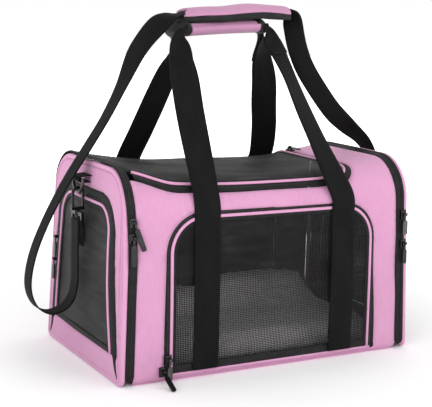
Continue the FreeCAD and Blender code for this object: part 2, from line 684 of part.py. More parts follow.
# name, wall, across, height, lift off the wall, pull length, pull width, tilt, swing
SLIDERS = [
    ("front_upper", "front", DOOR_EDGE, 30.0, 1.2, 27.0, 6.6, 0.0, 0.0),
    ("front_foot", "front", DOOR_EDGE - 8.6, 15.4, 1.2, 33.0, 6.6, 0.0, 63.0),
    ("left_rim_upper", "front", -207.6, 208.0, 0.2, 38.0, 6.6, -21.5, 0.0),
    ("left_rim_lower", "front", -208.0, 189.0, 0.2, 35.0, 6.6, 0.0, 0.0),
    ("right_rim_upper", "front", 207.8, 193.0, 0.2, 28.0, 8.0, 0.0, 0.0),
    ("right_rim_lower", "front", 208.6, 152.0, 0.2, 28.0, 6.6, 0.0, 0.0),
    ("left_door_upper", "left", -end_half(150) + 5.2, 150.0, 0.6, 28.0, 6.6, 0.0, 0.0),
    ("left_door_lower", "left", -end_half(118) + 5.2, 118.0, 0.6, 28.0, 6.6, 0.0, 0.0),
    ("right_door_upper", "right", -end_half(150) + 5.2, 150.0, 0.6, 28.0, 6.6, 0.0, 0.0),
    ("right_door_lower", "right", -end_half(118) + 5.2, 118.0, 0.6, 28.0, 6.6, 0.0, 0.0),
]


# ---- write everything ----
nodes = {
    "bottom_panel": bottom_panel,
    "base_board": base_board,
    "front_panel": front_panel,
    "back_panel": back_panel,
    "top_panel": top_panel,
    "left_end_panel": left_end_panel,
    "right_end_panel": mirror_x(left_end_panel),
    "edge_pipings": edge_pipings,
    "zip_tapes": zip_tapes,
    "ring_tabs": ring_tabs,
    "back_window_trim": back_window_trim,
    "back_window_mesh": back_window_mesh,
    "back_sewn_straps": back_sewn_straps,
    "bed_pad": bed_pad,
    "front_door_mesh": front_door_mesh,
    "front_door_trim": front_door_trim,
    "front_sewn_straps": front_sewn_straps,
    "top_door_mesh": top_door_mesh,
    "top_door_trim": top_door_trim,
    "left_door_mesh": left_door_mesh,
    "left_door_trim": left_door_trim,
    "right_door_mesh": mirror_x(left_door_mesh),
    "right_door_trim": mirror_x(left_door_trim),
    "front_handle_webbing": front_handle_webbing,
    "back_handle_webbing": back_handle_webbing,
    "handle_wrap": handle_wrap,
    "wrap_flap": wrap_flap,
    "strap_webbing": strap_webbing,
    "shoulder_pad": shoulder_pad,
    "strap_adjuster": strap_adjuster,
    "left_swivel_eye": left_swivel_eye,
    "right_swivel_eye": mirror_x(left_swivel_eye),
    "left_hook": left_hook,
    "right_hook": mirror_x(left_hook),
    "left_gate": left_gate,
    "right_gate": mirror_x(left_gate),
    "left_ring": left_ring,
    "right_ring": mirror_x(left_ring),
}
for name, wall, across, z, lift, length, width, tilt, swing in SLIDERS:
    nodes[name + "_slider"] = placed(make_slider(), wall, across, z, lift)
    nodes[name + "_pull"] = placed(make_pull(length, width), wall, across, z, lift, tilt, swing)

TOP_SLIDER_X = TOP_X1 - TAPE - 0.2


def on_top(shape):
    out = shape.copy()
    out.rotate(Vector(0, 0, 0), Vector(1, 0, 0), -90)
    out.translate(Vector(TOP_SLIDER_X, 62.0, BODY_HEIGHT + 0.2))
    return out


nodes["top_slider"] = on_top(make_slider())
nodes["top_pull"] = on_top(make_pull(26.0, 6.6))

os.makedirs("parts", exist_ok=True)
for name, shape in nodes.items():
    shape.exportStep("parts/" + name + ".step")
    b = shape.BoundBox
    print("%-24s solids %d valid %s  x %.1f..%.1f y %.1f..%.1f z %.1f..%.1f" % (
        name, len(shape.Solids), shape.isValid(), b.XMin, b.XMax, b.YMin, b.YMax, b.ZMin, b.ZMax))
print(len(nodes), "nodes")

f = on_front(Part.Vertex(0, 0.9, FRONT_LOW - 1.1))
print("front hinge", f.BoundBox.YMin, f.BoundBox.ZMin)
e = on_left(Part.Vertex(0, 2.0, END_HINGE_Z))
print("end hinge", e.BoundBox.XMin, e.BoundBox.ZMin)
print("top hinge", TOP_HINGE_Y, TOP_HINGE_Z, "flap", FLAP_Y, FLAP_Z, "face", FACE_Y)
print("angles", LEAN_ANGLE, END_ANGLE)
for name, wall, across, z, lift, length, width, tilt, swing in SLIDERS:
    v = placed(Part.Vertex(0, PIN_Y, PIN_Z), wall, across, z, lift)
    print("PIN", name, v.BoundBox.XMin, v.BoundBox.YMin, v.BoundBox.ZMin)
v = on_top(Part.Vertex(0, PIN_Y, PIN_Z))
print("PIN top", v.BoundBox.XMin, v.BoundBox.YMin, v.BoundBox.ZMin)
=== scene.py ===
import math

import bpy
import numpy as np
from mathutils import Matrix, Vector, geometry, noise


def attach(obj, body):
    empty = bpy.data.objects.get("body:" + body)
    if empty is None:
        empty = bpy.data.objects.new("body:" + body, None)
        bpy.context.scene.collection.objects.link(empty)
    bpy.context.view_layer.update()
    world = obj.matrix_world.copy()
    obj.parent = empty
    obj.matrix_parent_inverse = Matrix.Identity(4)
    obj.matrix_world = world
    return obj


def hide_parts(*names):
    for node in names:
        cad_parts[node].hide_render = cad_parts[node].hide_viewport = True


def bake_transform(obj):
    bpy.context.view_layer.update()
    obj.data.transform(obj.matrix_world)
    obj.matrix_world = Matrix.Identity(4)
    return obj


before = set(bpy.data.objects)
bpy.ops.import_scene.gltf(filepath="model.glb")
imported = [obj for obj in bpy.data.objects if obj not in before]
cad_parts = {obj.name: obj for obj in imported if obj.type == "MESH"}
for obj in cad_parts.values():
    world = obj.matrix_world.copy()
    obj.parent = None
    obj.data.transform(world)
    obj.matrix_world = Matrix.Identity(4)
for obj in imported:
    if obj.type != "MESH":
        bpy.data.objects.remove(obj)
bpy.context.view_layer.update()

rng = np.random.default_rng(7)
QUARTER = math.pi / 2

# ------------------------------------------------------------------ sizes, metres
HALF_LEN, END_LEAN, TALL = 0.2225, 0.008, 0.272
HALF_W, SHOULDER_HALF, SHOULDER_R, BODY_H, FOOT_R = 0.128, 0.121, 0.055, 0.268, 0.010
WALL_V = math.hypot(BODY_H - SHOULDER_R - FOOT_R, HALF_W - SHOULDER_HALF)
ARC_V = SHOULDER_R * math.pi / 2
MID_V = WALL_V + ARC_V + (SHOULDER_HALF - SHOULDER_R)
FOOT_V = FOOT_R * math.pi / 2
SAG, HOOP_RISE, BELLY = 0.0135, 0.0036, 0.0025
END_BELLY = 0.0068
# a door's half width at its foot and at its top, the heights of its foot and top, and its corner radius
FRONT = (0.163, 0.163, 0.008, 0.220, 0.056)
END = (0.108, 0.095, 0.034, 0.230, 0.046)
TOP_X1, TOP_HALF, TOP_CORNER = 0.140, 0.112, 0.034
STRAP_X, WEB, WEB_T = 0.104, 0.037, 0.0016
GRIP_X, GRIP_Z, GRIP_HALF = -0.019, 0.446, 0.066
BELT, BELT_RUN = 0.025, 0.028


def smooth(t):
    t = np.clip(t, 0, 1)
    return t * t * (3 - 2 * t)


# ------------------------------------------------------------------ the bag's skin
def section(v):
    """Distance v up the front wall, over the shoulder and the top, and down the back: y, z and the normal."""
    v = np.asarray(v, float)
    back = v > MID_V
    w = np.where(back, 2 * MID_V - v, v)
    t = np.clip(w / WALL_V, 0, 1)
    ny0, nz0 = -math.cos(math.asin(0.0345)), 0.0345
    y = -(HALF_W + (SHOULDER_HALF - HALF_W) * t)
    z = FOOT_R + (BODY_H - SHOULDER_R - FOOT_R) * t
    ny, nz = np.full_like(w, ny0), np.full_like(w, nz0)
    a = np.clip((w - WALL_V) / SHOULDER_R, 0, math.pi / 2)
    arc = w > WALL_V
    yc = SHOULDER_HALF - SHOULDER_R
    y = np.where(arc, -(yc + SHOULDER_R * np.cos(a)), y)
    z = np.where(arc, BODY_H - SHOULDER_R + SHOULDER_R * np.sin(a), z)
    ny = np.where(arc, -np.cos(a), ny)
    nz = np.where(arc, np.sin(a), nz)
    flat = w > WALL_V + ARC_V
    y = np.where(flat, -(MID_V - w), y)
    b = np.clip(-w / FOOT_R, 0, math.pi / 2)
    foot = w < 0
    y = np.where(foot, -(HALF_W - FOOT_R + FOOT_R * np.cos(b)), y)
    z = np.where(foot, FOOT_R - FOOT_R * np.sin(b), z)
    ny = np.where(foot, -np.cos(b), ny)
    nz = np.where(foot, -np.sin(b), nz)
    under = w < -FOOT_V
    y = np.where(under, -(HALF_W - FOOT_R) - (w + FOOT_V), y)
    sign = np.where(back, -1.0, 1.0)
    return y * sign, z, ny * sign, nz, w


def skin(x, v, off=0.0):
    """A point of the soft skin: the arch, sagging between the end hoops and bellied in the walls."""
    x = np.asarray(x, float)
    y, z, ny, nz, w = section(v)
    high = smooth((w - 0.185) / 0.11)
    r = np.clip(np.abs(x) / 0.2, 0, 1.1)
    dz = high * (HOOP_RISE * r ** 4 - SAG * np.clip(1 - r ** 2.4, 0, 1))
    belly = BELLY * np.clip(1 - r ** 3, 0, 1) * np.sin(np.clip(w / 0.235, 0, 1) * math.pi)
    d = np.asarray(off, float) + belly
    return np.stack([x + 0 * w, y + ny * d, z + nz * d + dz], -1)


def end_x(z, depth=0.0):
    return HALF_LEN - END_LEAN * z / TALL - depth


def end_skin(side):
    """The leaning end wall, bellied outwards: a map from (y, z) and an offset."""
    def place(y, z, off=0.0):
        y, z = np.asarray(y, float), np.asarray(z, float)
        full = smooth((y + 0.123) / 0.034) * (1 - 0.8 * smooth((y - 0.010) / 0.075))
        belly = END_BELLY * full * np.sin(np.clip(z / 0.262, 0, 1) * math.pi)
        return np.stack([side * (end_x(z, 0.0006) + off + belly), y, z], -1)
    return place


# ------------------------------------------------------------------ outlines
def arc(cx, cy, r, start, turn, n=12, first=0):
    """Points on an arc about (cx, cy), from the angle start through turn."""
    angles = [start + turn * k / n for k in range(first, n + 1)]
    return [(cx + r * math.cos(a), cy + r * math.sin(a)) for a in angles]


def door_outline(spec, inset, foot=None):
    """A door's edge from its lower left corner, over the top, to its lower right corner."""
    lo, hi, z0, z1, r = spec
    lo, hi, top, rr = lo - inset, hi - inset, z1 - inset, max(r - inset, 0.001)
    z0 = z0 if foot is None else foot
    pts = [(-lo + (lo - hi) * t, z0 + (top - rr - z0) * t) for t in np.linspace(0, 1, 18)[:-1]]
    pts += arc(-hi + rr, top - rr, rr, math.pi, -QUARTER, 14)
    pts += [(-hi + rr + (2 * hi - 2 * rr) * t, top) for t in np.linspace(0, 1, 24)[1:-1]]
    pts += arc(hi - rr, top - rr, rr, QUARTER, -QUARTER, 14)
    pts += [(hi + (lo - hi) * t, top - rr + (z0 - top + rr) * t) for t in np.linspace(0, 1, 18)[1:]]
    return pts


def front_line(inset, foot=None):
    return [(x, z - FOOT_R) for x, z in door_outline(FRONT, inset, foot)]


def v_of_y(y):
    """The place along the section of a point over the shoulder or the top, from its y."""
    a = np.abs(y)
    yc = SHOULDER_HALF - SHOULDER_R
    arc = WALL_V + SHOULDER_R * np.arccos(np.clip((a - yc) / SHOULDER_R, 0, 1))
    w = np.where(a > yc, arc, MID_V - a)
    return np.where(np.asarray(y) > 0, 2 * MID_V - w, w)


def top_line(inset):
    """The top door's edge: along the front from the left end, round the corner and along the right side."""
    x1, half, r = TOP_X1 - inset, TOP_HALF - inset, max(TOP_CORNER - inset, 0.004)
    pts = [(x, -half) for x in np.linspace(-end_x(0.25, 0.0120), x1 - r, 40)]
    pts += arc(x1 - r, -half + r, r, -QUARTER, QUARTER, 12, 1)
    pts += [(x1, y) for y in np.linspace(-half + r, TOP_HALF - 0.0012, 40)[1:]]
    return [(x, float(v_of_y(y))) for x, y in pts]


def arch_outline(inset):
    """The end wall's outline, from its foot up and over the top to the other foot."""
    half, r = HALF_W - inset, SHOULDER_R - inset
    zs, yc = TALL - SHOULDER_R, SHOULDER_HALF - SHOULDER_R
    right = arc(HALF_W - FOOT_R, FOOT_R, FOOT_R - inset, -QUARTER, QUARTER, 6)
    right += [(half + (yc + r - half) * t, FOOT_R + (zs - FOOT_R) * t) for t in np.linspace(0, 1, 24)[1:-1]]
    right += arc(yc, zs, r, 0, QUARTER)
    right += [(yc * (1 - t), TALL - inset) for t in np.linspace(0, 1, 9)[1:]]
    return right + [(-y, z) for y, z in right[::-1]][1:]


# ------------------------------------------------------------------ mesh tools
def finish_mesh(me, uvs):
    """Smooth faces, and one UV for each vertex."""
    if uvs is not None:
        layer = me.uv_layers[0] if me.uv_layers else me.uv_layers.new(name="UVMap")
        loops = np.zeros(len(me.loops), np.int32)
        me.loops.foreach_get("vertex_index", loops)
        layer.data.foreach_set("uv", np.asarray(uvs, np.float32)[loops].ravel())
    me.polygons.foreach_set("use_smooth", [True] * len(me.polygons))
    me.update()


def new_object(name, verts, faces, material, uvs=None):
    me = bpy.data.meshes.new(name)
    me.from_pydata([tuple(map(float, p)) for p in verts], [], faces)
    me.materials.append(material)
    finish_mesh(me, uvs)
    ob = bpy.data.objects.new(name, me)
    bpy.context.scene.collection.objects.link(ob)
    return ob


def evaluated(ob):
    return bpy.data.meshes.new_from_object(ob.evaluated_get(bpy.context.evaluated_depsgraph_get()))


def points_of(me):
    co = np.zeros(len(me.vertices) * 3)
    me.vertices.foreach_get("co", co)
    return co.reshape(-1, 3)


PRESSURE, SWELL_FRAMES = 4.0, 20


def plump(ob, voxel, cap, pile=0.0):
    """A padded piece swells like cloth under pressure; no point moves further than cap."""
    remesh = ob.modifiers.new("remesh", "REMESH")
    remesh.mode, remesh.voxel_size = "VOXEL", voxel
    me = evaluated(ob)
    ob.modifiers.clear()
    ob.data = me
    before = points_of(me)
    cloth = ob.modifiers.new("swell", "CLOTH")
    cloth.settings.quality = 5
    cloth.settings.use_pressure = True
    cloth.settings.uniform_pressure_force = PRESSURE
    cloth.settings.effector_weights.gravity = 0
    cloth.point_cache.frame_start, cloth.point_cache.frame_end = 1, SWELL_FRAMES
    for k in range(1, SWELL_FRAMES + 1):
        bpy.context.scene.frame_set(k)
    move = points_of(evaluated(ob)) - before
    ob.modifiers.clear()
    bpy.context.scene.frame_set(1)
    far = np.linalg.norm(move, axis=1)[:, None]
    me.vertices.foreach_set("co", (before + move * np.minimum(1, cap / np.maximum(far, 1e-9))).ravel())
    ob.modifiers.new("finer", "SUBSURF").levels = 1
    me = evaluated(ob)
    ob.modifiers.clear()
    ob.data = me
    co = points_of(me)
    if pile:
        nrm = np.array([v.normal for v in me.vertices])
        tuft = np.array([noise.noise(Vector(c) * 95) + 0.6 * noise.noise(Vector(c) * 230) for c in co])
        co = co + nrm * (tuft * pile)[:, None]
        me.vertices.foreach_set("co", co.ravel())
    finish_mesh(me, np.stack([co[:, 0], co[:, 1] + co[:, 2]], -1))
    return ob


def put(ob, body, slot, *replaced):
    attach(ob, body)
    if replaced:
        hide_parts(*replaced)
    return ob


def inside(points, loop):
    x, y = points[:, 0], points[:, 1]
    out = np.zeros(len(points), bool)
    a = np.asarray(loop, float)
    b = np.roll(a, -1, 0)
    for (x0, y0), (x1, y1) in zip(a, b):
        cross = (y0 > y) != (y1 > y)
        if cross.any():
            out ^= cross & (x < (x1 - x0) * (y - y0) / ((y1 - y0) or 1e-12) + x0)
    return out


def edge_distance(points, loops):
    best = np.full(len(points), 1e9)
    for loop in loops:
        a = np.asarray(loop, float)
        b = np.roll(a, -1, 0)
        for p, q in zip(a, b):
            d = q - p
            n = d @ d
            if n < 1e-14:
                continue
            t = np.clip((points - p) @ d / n, 0, 1)
            best = np.minimum(best, np.hypot(*(points - p - t[:, None] * d).T))
    return best


def sheet_mesh(name, place, loops, step, thick, material, round_edge=0.0, lift=0.0, wrinkle=None):
    """A cloth panel: the first loop less the others, filled with triangles, laid on a skin and thickened."""
    def cloth_at(q):
        ok = inside(q, loops[0])
        for hole in loops[1:]:
            ok &= ~inside(q, hole)
        return ok

    verts, edges = [], []
    for loop in loops:
        base = len(verts)
        verts += [Vector((float(p[0]), float(p[1]))) for p in loop]
        edges += [(base + i, base + (i + 1) % len(loop)) for i in range(len(loop))]
    a = np.asarray(loops[0], float)
    lo, hi = a.min(0), a.max(0)
    gx, gy = np.meshgrid(np.arange(lo[0] + step / 2, hi[0], step), np.arange(lo[1] + step / 2, hi[1], step))
    gx[::2] += step * 0.25
    gx[1::2] -= step * 0.25
    grid = np.stack([gx.ravel(), gy.ravel()], -1)
    grid = grid[cloth_at(grid)]
    grid = grid[edge_distance(grid, loops) > step * 0.45]
    verts += [Vector((float(x), float(y))) for x, y in grid]
    co, _, tris, _, _, _ = geometry.delaunay_2d_cdt(verts, edges, [], 0, 1e-7)
    p = np.array([(c.x, c.y) for c in co])
    t = np.array(tris)
    t = t[cloth_at(p[t].mean(1))]
    used, t = np.unique(t, return_inverse=True)
    t = t.reshape(-1, 3)
    p = p[used]
    ab, ac = p[t[:, 1]] - p[t[:, 0]], p[t[:, 2]] - p[t[:, 0]]
    area = ab[:, 0] * ac[:, 1] - ab[:, 1] * ac[:, 0]
    t[area < 0] = t[area < 0][:, ::-1]
    waves = 0 if wrinkle is None else wrinkle(p)
    outer = np.full(len(p), lift)
    if round_edge:
        d = np.clip(edge_distance(p, loops) / round_edge, 0, 1)
        outer = lift - (1 - np.sqrt(1 - (1 - d) ** 2)) * thick * 0.8
    top = place(p[:, 0], p[:, 1], outer + waves)
    low = place(p[:, 0], p[:, 1], outer * 0 + lift - thick + waves)
    n = len(p)
    a, b, c = t[0]
    if np.cross(top[b] - top[a], top[c] - top[a]) @ (top[a] - low[a]) < 0:
        t = t[:, ::-1]
    t = t.tolist()
    faces = [tuple(f) for f in t] + [tuple(i + n for i in f[::-1]) for f in t]
    sides = dict.fromkeys((f[i], f[(i + 1) % 3]) for f in t for i in range(3))
    faces += [(j, i, i + n, j + n) for i, j in sides if (j, i) not in sides]
    return new_object(name, np.vstack([top, low]), faces, material, np.vstack([p, p]))


def spline(points, n):
    """Catmull-Rom through the points, n places to each span."""
    p = np.asarray(points, float)
    q = np.vstack([2 * p[:1] - p[1:2], p, 2 * p[-1:] - p[-2:-1]])
    out = []
    for i in range(len(p) - 1):
        a, b, c, d = q[i:i + 4]
        for t in np.linspace(0, 1, n, endpoint=False):
            out.append(0.5 * (2 * b + (c - a) * t + (2 * a - 5 * b + 4 * c - d) * t * t
                              + (3 * b - a - 3 * c + d) * t ** 3))
    return np.array(out + [p[-1]])


def lengths(path):
    """How far along a line each of its points lies."""
    return np.r_[0, np.cumsum(np.linalg.norm(np.diff(path, axis=0), axis=1))]


def at_length(s, d, values):
    return np.stack([np.interp(s, d, values[:, k]) for k in range(3)], -1)


def resample(path, step, closed=False):
    p = np.asarray(path, float)
    if closed:
        p = np.vstack([p, p[:1]])
    d = lengths(p)
    n = max(int(round(d[-1] / step)), 2)
    out = at_length(np.linspace(0, d[-1], n + 1), d, p)
    return out[:-1] if closed else out


def frames(path, up, closed=False):
    """Tangent, side and up at each point; up is a vector, or one for each point."""
    p = np.asarray(path, float)
    t = (np.roll(p, -1, 0) - np.roll(p, 1, 0)) if closed else np.gradient(p, axis=0)
    t /= np.linalg.norm(t, axis=1)[:, None] + 1e-12
    u = np.broadcast_to(np.asarray(up, float), p.shape)
    u = u - (u * t).sum(1)[:, None] * t
    u = u / (np.linalg.norm(u, axis=1)[:, None] + 1e-12)
    return t, np.cross(t, u), u


def tube_faces(n, k, closed=False):
    """The faces of n rings of k points, with end caps unless the tube closes on itself."""
    faces = []
    for i in range(n if closed else n - 1):
        a, b = i * k, ((i + 1) % n) * k
        faces += [(a + j, a + (j + 1) % k, b + (j + 1) % k, b + j) for j in range(k)]
    if not closed:
        faces += [tuple(range(k))[::-1], tuple((n - 1) * k + j for j in range(k))]
    return faces


def slab_faces(nx, ny):
    """The faces of a closed slab: an nx by ny grid, the same below it, and a wall round the edge."""
    n = nx * ny
    faces = []
    for i in range(nx - 1):
        for j in range(ny - 1):
            a = i * ny + j
            faces += [(a, a + ny, a + ny + 1, a + 1), (n + a, n + a + 1, n + a + ny + 1, n + a + ny)]
    rim = [i * ny for i in range(nx)] + [(nx - 1) * ny + j for j in range(1, ny)]
    rim += [i * ny + ny - 1 for i in range(nx - 2, -1, -1)] + list(range(ny - 2, 0, -1))
    return faces + [(b, a, n + a, n + b) for a, b in zip(rim, rim[1:] + rim[:1])]


def sweep(path, up, outline, closed=False, scale=None):
    """Vertices, faces and UVs of an outline (side, up) carried along a path."""
    p = np.asarray(path, float)
    _, side, u = frames(p, up, closed)
    o = np.asarray(outline, float)
    s = np.ones(len(p)) if scale is None else np.asarray(scale, float)
    v = p[:, None] + (side[:, None] * o[None, :, :1] + u[:, None] * o[None, :, 1:]) * s[:, None, None]
    uv = np.stack(np.broadcast_arrays(lengths(o)[None, :], lengths(p)[:, None]), -1).reshape(-1, 2)
    return v.reshape(-1, 3), tube_faces(len(p), len(o), closed), uv


def circle(r, n=10, flat=1.0):
    return [(r * math.cos(2 * math.pi * i / n), flat * r * math.sin(2 * math.pi * i / n)) for i in range(n)]


def strip_outline(width, thick, curl):
    """A webbing's section: flat faces, rounded edges and a slight curl."""
    h, w = thick / 2, width / 2 - thick / 2
    xs = np.linspace(-w, w, 8)
    edge = (math.pi / 4, 0, -math.pi / 4)
    top = [(x, h + curl * (x / w) ** 2) for x in xs]
    right = [(w + h * math.cos(a), curl + h * math.sin(a)) for a in edge]
    low = [(x, -h + curl * (x / w) ** 2) for x in xs[::-1]]
    left = [(-w - h * math.cos(a), curl - h * math.sin(a)) for a in edge]
    return top + right + low + left


def band(rows, thick=WEB_T, n=8, curl=0.0):
    """The mesh of a webbing strap through rows of (centre, width direction, width)."""
    c = spline([r[0] for r in rows], n)
    w = spline([np.asarray(r[1], float) / np.linalg.norm(r[1]) for r in rows], n)
    half = spline([[r[2], 0, 0] for r in rows], n)[:, :1] / 2
    t = np.gradient(c, axis=0)
    t /= np.linalg.norm(t, axis=1)[:, None]
    w = w - (w * t).sum(1)[:, None] * t
    w /= np.linalg.norm(w, axis=1)[:, None]
    o = np.asarray(strip_outline(1.0, thick, curl), float)
    across = np.clip(o[:, 0] / 0.5, -1, 1) * half
    v = c[:, None] + w[:, None] * across[..., None] + np.cross(t, w)[:, None] * o[None, :, 1:]
    uv = np.stack([across, np.broadcast_to(lengths(c)[:, None], across.shape)], -1).reshape(-1, 2)
    return v.reshape(-1, 3), tube_faces(len(c), len(o)), uv


def gather(name, chunks, material):
    """One mesh from many (vertices, faces, uv) chunks."""
    faces, base = [], 0
    for v, f, _ in chunks:
        faces += [tuple(i + base for i in q) for q in f]
        base += len(v)
    verts, uv = (np.vstack([c[k] for c in chunks]) for k in (0, 2))
    return new_object(name, verts, faces, material, uv)


def piece(name, chunks, material, body, slot, *replaced):
    return put(gather(name, chunks, material), body, slot, *replaced)


def coil(path, normals, r=0.00105):
    """One row of zip teeth: a ribbed bead along a path."""
    pitch = 0.0017
    p = resample(path, pitch / 4)
    d = lengths(path)
    up = at_length(np.linspace(0, d[-1], len(p)), d, normals)
    phase = np.arange(len(p)) % 4
    scale = np.where(phase == 0, 0.62, np.where(phase == 2, 1.12, 0.95))
    return sweep(p, up, circle(r, 6, 0.8), False, scale)


def stitches(path, normals, pitch=0.0034, length=0.0024, r=0.00028):
    """A row of thread stitches lying on a surface."""
    p = np.asarray(path, float)
    d = lengths(p)
    nrm = np.broadcast_to(np.asarray(normals, float), p.shape)
    chunks = []
    for s in np.arange(pitch / 2, d[-1] - length, pitch):
        ss = np.array([s, s + length * 0.25, s + length * 0.75, s + length])
        u = at_length(ss, d, nrm)
        q = at_length(ss, d, p) + u * (np.array([-0.2, 0.9, 0.9, -0.2]) * r)[:, None]
        chunks.append(sweep(q, u, circle(r, 5), False, [0.5, 1, 1, 0.5]))
    return chunks


def skin_normal(x, v):
    e = 1e-4
    a = skin(x + e, v) - skin(x - e, v)
    b = skin(x, np.asarray(v) + e) - skin(x, np.asarray(v) - e)
    n = np.cross(a, b)
    return n / np.linalg.norm(n, axis=-1)[..., None]


# ------------------------------------------------------------------ materials
class Nodes:
    def __init__(self, name):
        self.m = bpy.data.materials.new(name)
        self.m.use_nodes = True
        self.t = self.m.node_tree
        self.bsdf = self.t.nodes["Principled BSDF"]

    def add(self, kind, **props):
        n = self.t.nodes.new(kind)
        for k, v in props.items():
            setattr(n, k, v)
        return n

    def link(self, a, b):
        self.t.links.new(a, b)
        return b

    def value(self, socket, x):
        if hasattr(x, "is_linked") or hasattr(x, "links"):
            self.link(x, socket)
        else:
            socket.default_value = x

    def math(self, op, a, b=0.0, c=None):
        n = self.add("ShaderNodeMath", operation=op)
        for socket, x in zip(n.inputs, (a, b, c)):
            if x is not None:
                self.value(socket, x)
        return n.outputs[0]

    def total(self, *terms):
        """The weighted sum of (value, weight) pairs."""
        parts = [self.math("MULTIPLY", x, weight) for x, weight in terms]
        while len(parts) > 1:
            parts[:2] = [self.math("ADD", *parts[:2])]
        return parts[0]

    def sine(self, x, half_wave):
        return self.math("SINE", self.math("MULTIPLY", x, math.pi / half_wave))

    def coords(self, kind="UV"):
        return self.add("ShaderNodeTexCoord").outputs[kind]

    def xyz(self, vec):
        n = self.add("ShaderNodeSeparateXYZ")
        self.link(vec, n.inputs[0])
        return n.outputs

    def noise(self, vec, scale, detail=3.0, rough=0.5, stretch=(1, 1, 1)):
        mp = self.add("ShaderNodeMapping")
        self.link(vec, mp.inputs["Vector"])
        mp.inputs["Scale"].default_value = stretch
        n = self.add("ShaderNodeTexNoise")
        self.link(mp.outputs[0], n.inputs["Vector"])
        n.inputs["Scale"].default_value = scale
        n.inputs["Detail"].default_value = detail
        n.inputs["Roughness"].default_value = rough
        return n.outputs["Fac"]

    def ramp(self, fac, *stops):
        """Stops are (position, grey) or (position, colour)."""
        n = self.add("ShaderNodeValToRGB")
        self.link(fac, n.inputs[0])
        e = n.color_ramp.elements
        e[1].position = stops[-1][0]
        for k, (pos, col) in enumerate(stops):
            x = e[0] if k == 0 else e[len(e) - 1] if k == len(stops) - 1 else e.new(pos)
            x.position = pos
            x.color = (*(col if isinstance(col, tuple) else (col,) * 3), 1)
        return n.outputs["Color"]

    def bump(self, height, strength, distance, under=None):
        n = self.add("ShaderNodeBump")
        self.link(height, n.inputs["Height"])
        n.inputs["Strength"].default_value = strength
        n.inputs["Distance"].default_value = distance
        if under is not None:
            self.link(under, n.inputs["Normal"])
        return n.outputs["Normal"]

    def shade(self, color, rough, normal=None, metallic=0.0, sheen=0.0, sheen_rough=0.5, specular=0.5):
        b = self.bsdf.inputs
        self.value(b["Base Color"], color)
        self.value(b["Roughness"], rough)
        b["Metallic"].default_value = metallic
        b["Sheen Weight"].default_value = sheen
        b["Sheen Roughness"].default_value = sheen_rough
        b["Specular IOR Level"].default_value = specular
        if normal is not None:
            self.link(normal, b["Normal"])
        return self.m


def weave_height(n, uv, pitch):
    """A plain weave: threads over and under each other, 0 to 1."""
    x, y, _ = n.xyz(uv)
    return n.math("MULTIPLY_ADD", n.math("MULTIPLY", n.sine(x, pitch), n.sine(y, pitch)), 0.5, 0.5)


def pink_cloth(name, lighter=1.0):
    n = Nodes(name)
    uv = n.coords()
    weave = weave_height(n, uv, 0.00075)
    slub = n.noise(uv, 60.0, 3.0, 0.6, (6, 1, 1))
    drift = n.noise(uv, 9.0, 3.0, 0.55)
    folds = n.noise(uv, 16.0, 2.0, 0.5, (1, 0.45, 1))
    fac = n.total((weave, 0.34), (slub, 0.26), (drift, 0.42))
    tones = (0.22, (0.41, 0.180, 0.309)), (0.5, (0.530, 0.255, 0.413)), (0.8, (0.62, 0.330, 0.500))
    color = n.ramp(fac, *[(at, tuple(lighter * v for v in tone)) for at, tone in tones])
    normal = n.bump(weave, 0.45, 0.00035, n.bump(folds, 0.5, 0.004))
    rough = n.math("MULTIPLY_ADD", slub, 0.16, 0.66)
    return n.shade(color, rough, normal, sheen=0.16, sheen_rough=0.45, specular=0.2)


def web_cloth(name, pitch=0.0016, base=0.006, light=0.018):
    """Webbing: ribs in shallow chevrons, worn paler in places."""
    n = Nodes(name)
    uv = n.coords()
    x, y, _ = n.xyz(uv)
    chevron = n.math("ADD", y, n.math("MULTIPLY", n.math("ABSOLUTE", x), 0.35))
    cross = n.sine(x, 0.0013 / 2)
    ribs = n.math("MULTIPLY", n.sine(chevron, pitch / 2), n.math("MULTIPLY_ADD", cross, 0.35, 0.65))
    h = n.math("MULTIPLY_ADD", ribs, 0.5, 0.5)
    wear = n.noise(uv, 45.0, 4.0, 0.6, (1, 0.3, 1))
    color = n.ramp(n.total((h, 0.45), (wear, 0.55)), (0.25, base * 0.5), (0.55, (base, base, base * 1.05)),
                   (0.95, (light, light, light * 1.04)))
    rough = n.math("MULTIPLY_ADD", h, -0.12, 0.72)
    return n.shade(color, rough, n.bump(h, 0.6, 0.0004), sheen=0.01, specular=0.06)


def open_mesh(name, cover=0.5, tone=0.022):
    """Net of crossing threads: cover is the share of the surface that they hide."""
    n = Nodes(name)
    uv = n.coords()
    x, y, _ = n.xyz(uv)
    pitch = 0.0024
    bend = n.noise(uv, 55.0, 2.0, 0.5)
    yy = n.math("ADD", y, n.math("MULTIPLY", bend, 0.0006))
    xx = n.math("ADD", x, n.math("MULTIPLY", bend, 0.0004))
    lowest = n.math("MINIMUM", n.math("ABSOLUTE", n.sine(xx, pitch)), n.math("ABSOLUTE", n.sine(yy, pitch)))
    thread = n.math("LESS_THAN", lowest, math.sin((1 - math.sqrt(1 - cover)) * QUARTER))
    # painted highlight: long paler streaks stretched along x stand in for sheen along the net's wrinkles; the
    # blotches are tone that differs at random
    highlight_streak = n.noise(uv, 120.0, 4.0, 0.65, (0.16, 1, 1))
    blotch = n.noise(uv, 14.0, 2.0, 0.5)
    mix = n.total((highlight_streak, 0.6), (blotch, 0.4))
    color = n.ramp(mix, (0.3, tone * 0.25), (0.55, tone * 0.8), (0.75, tone * 2.2))
    crease = n.bump(n.noise(uv, 38.0, 3.0, 0.55, (0.4, 1, 1)), 0.5, 0.0016)
    normal = n.bump(n.math("SUBTRACT", 1.0, lowest), 0.4, 0.0004, crease)
    m = n.shade(color, 0.58, normal, sheen=0.02, specular=0.14)
    n.link(thread, n.bsdf.inputs["Alpha"])
    return m


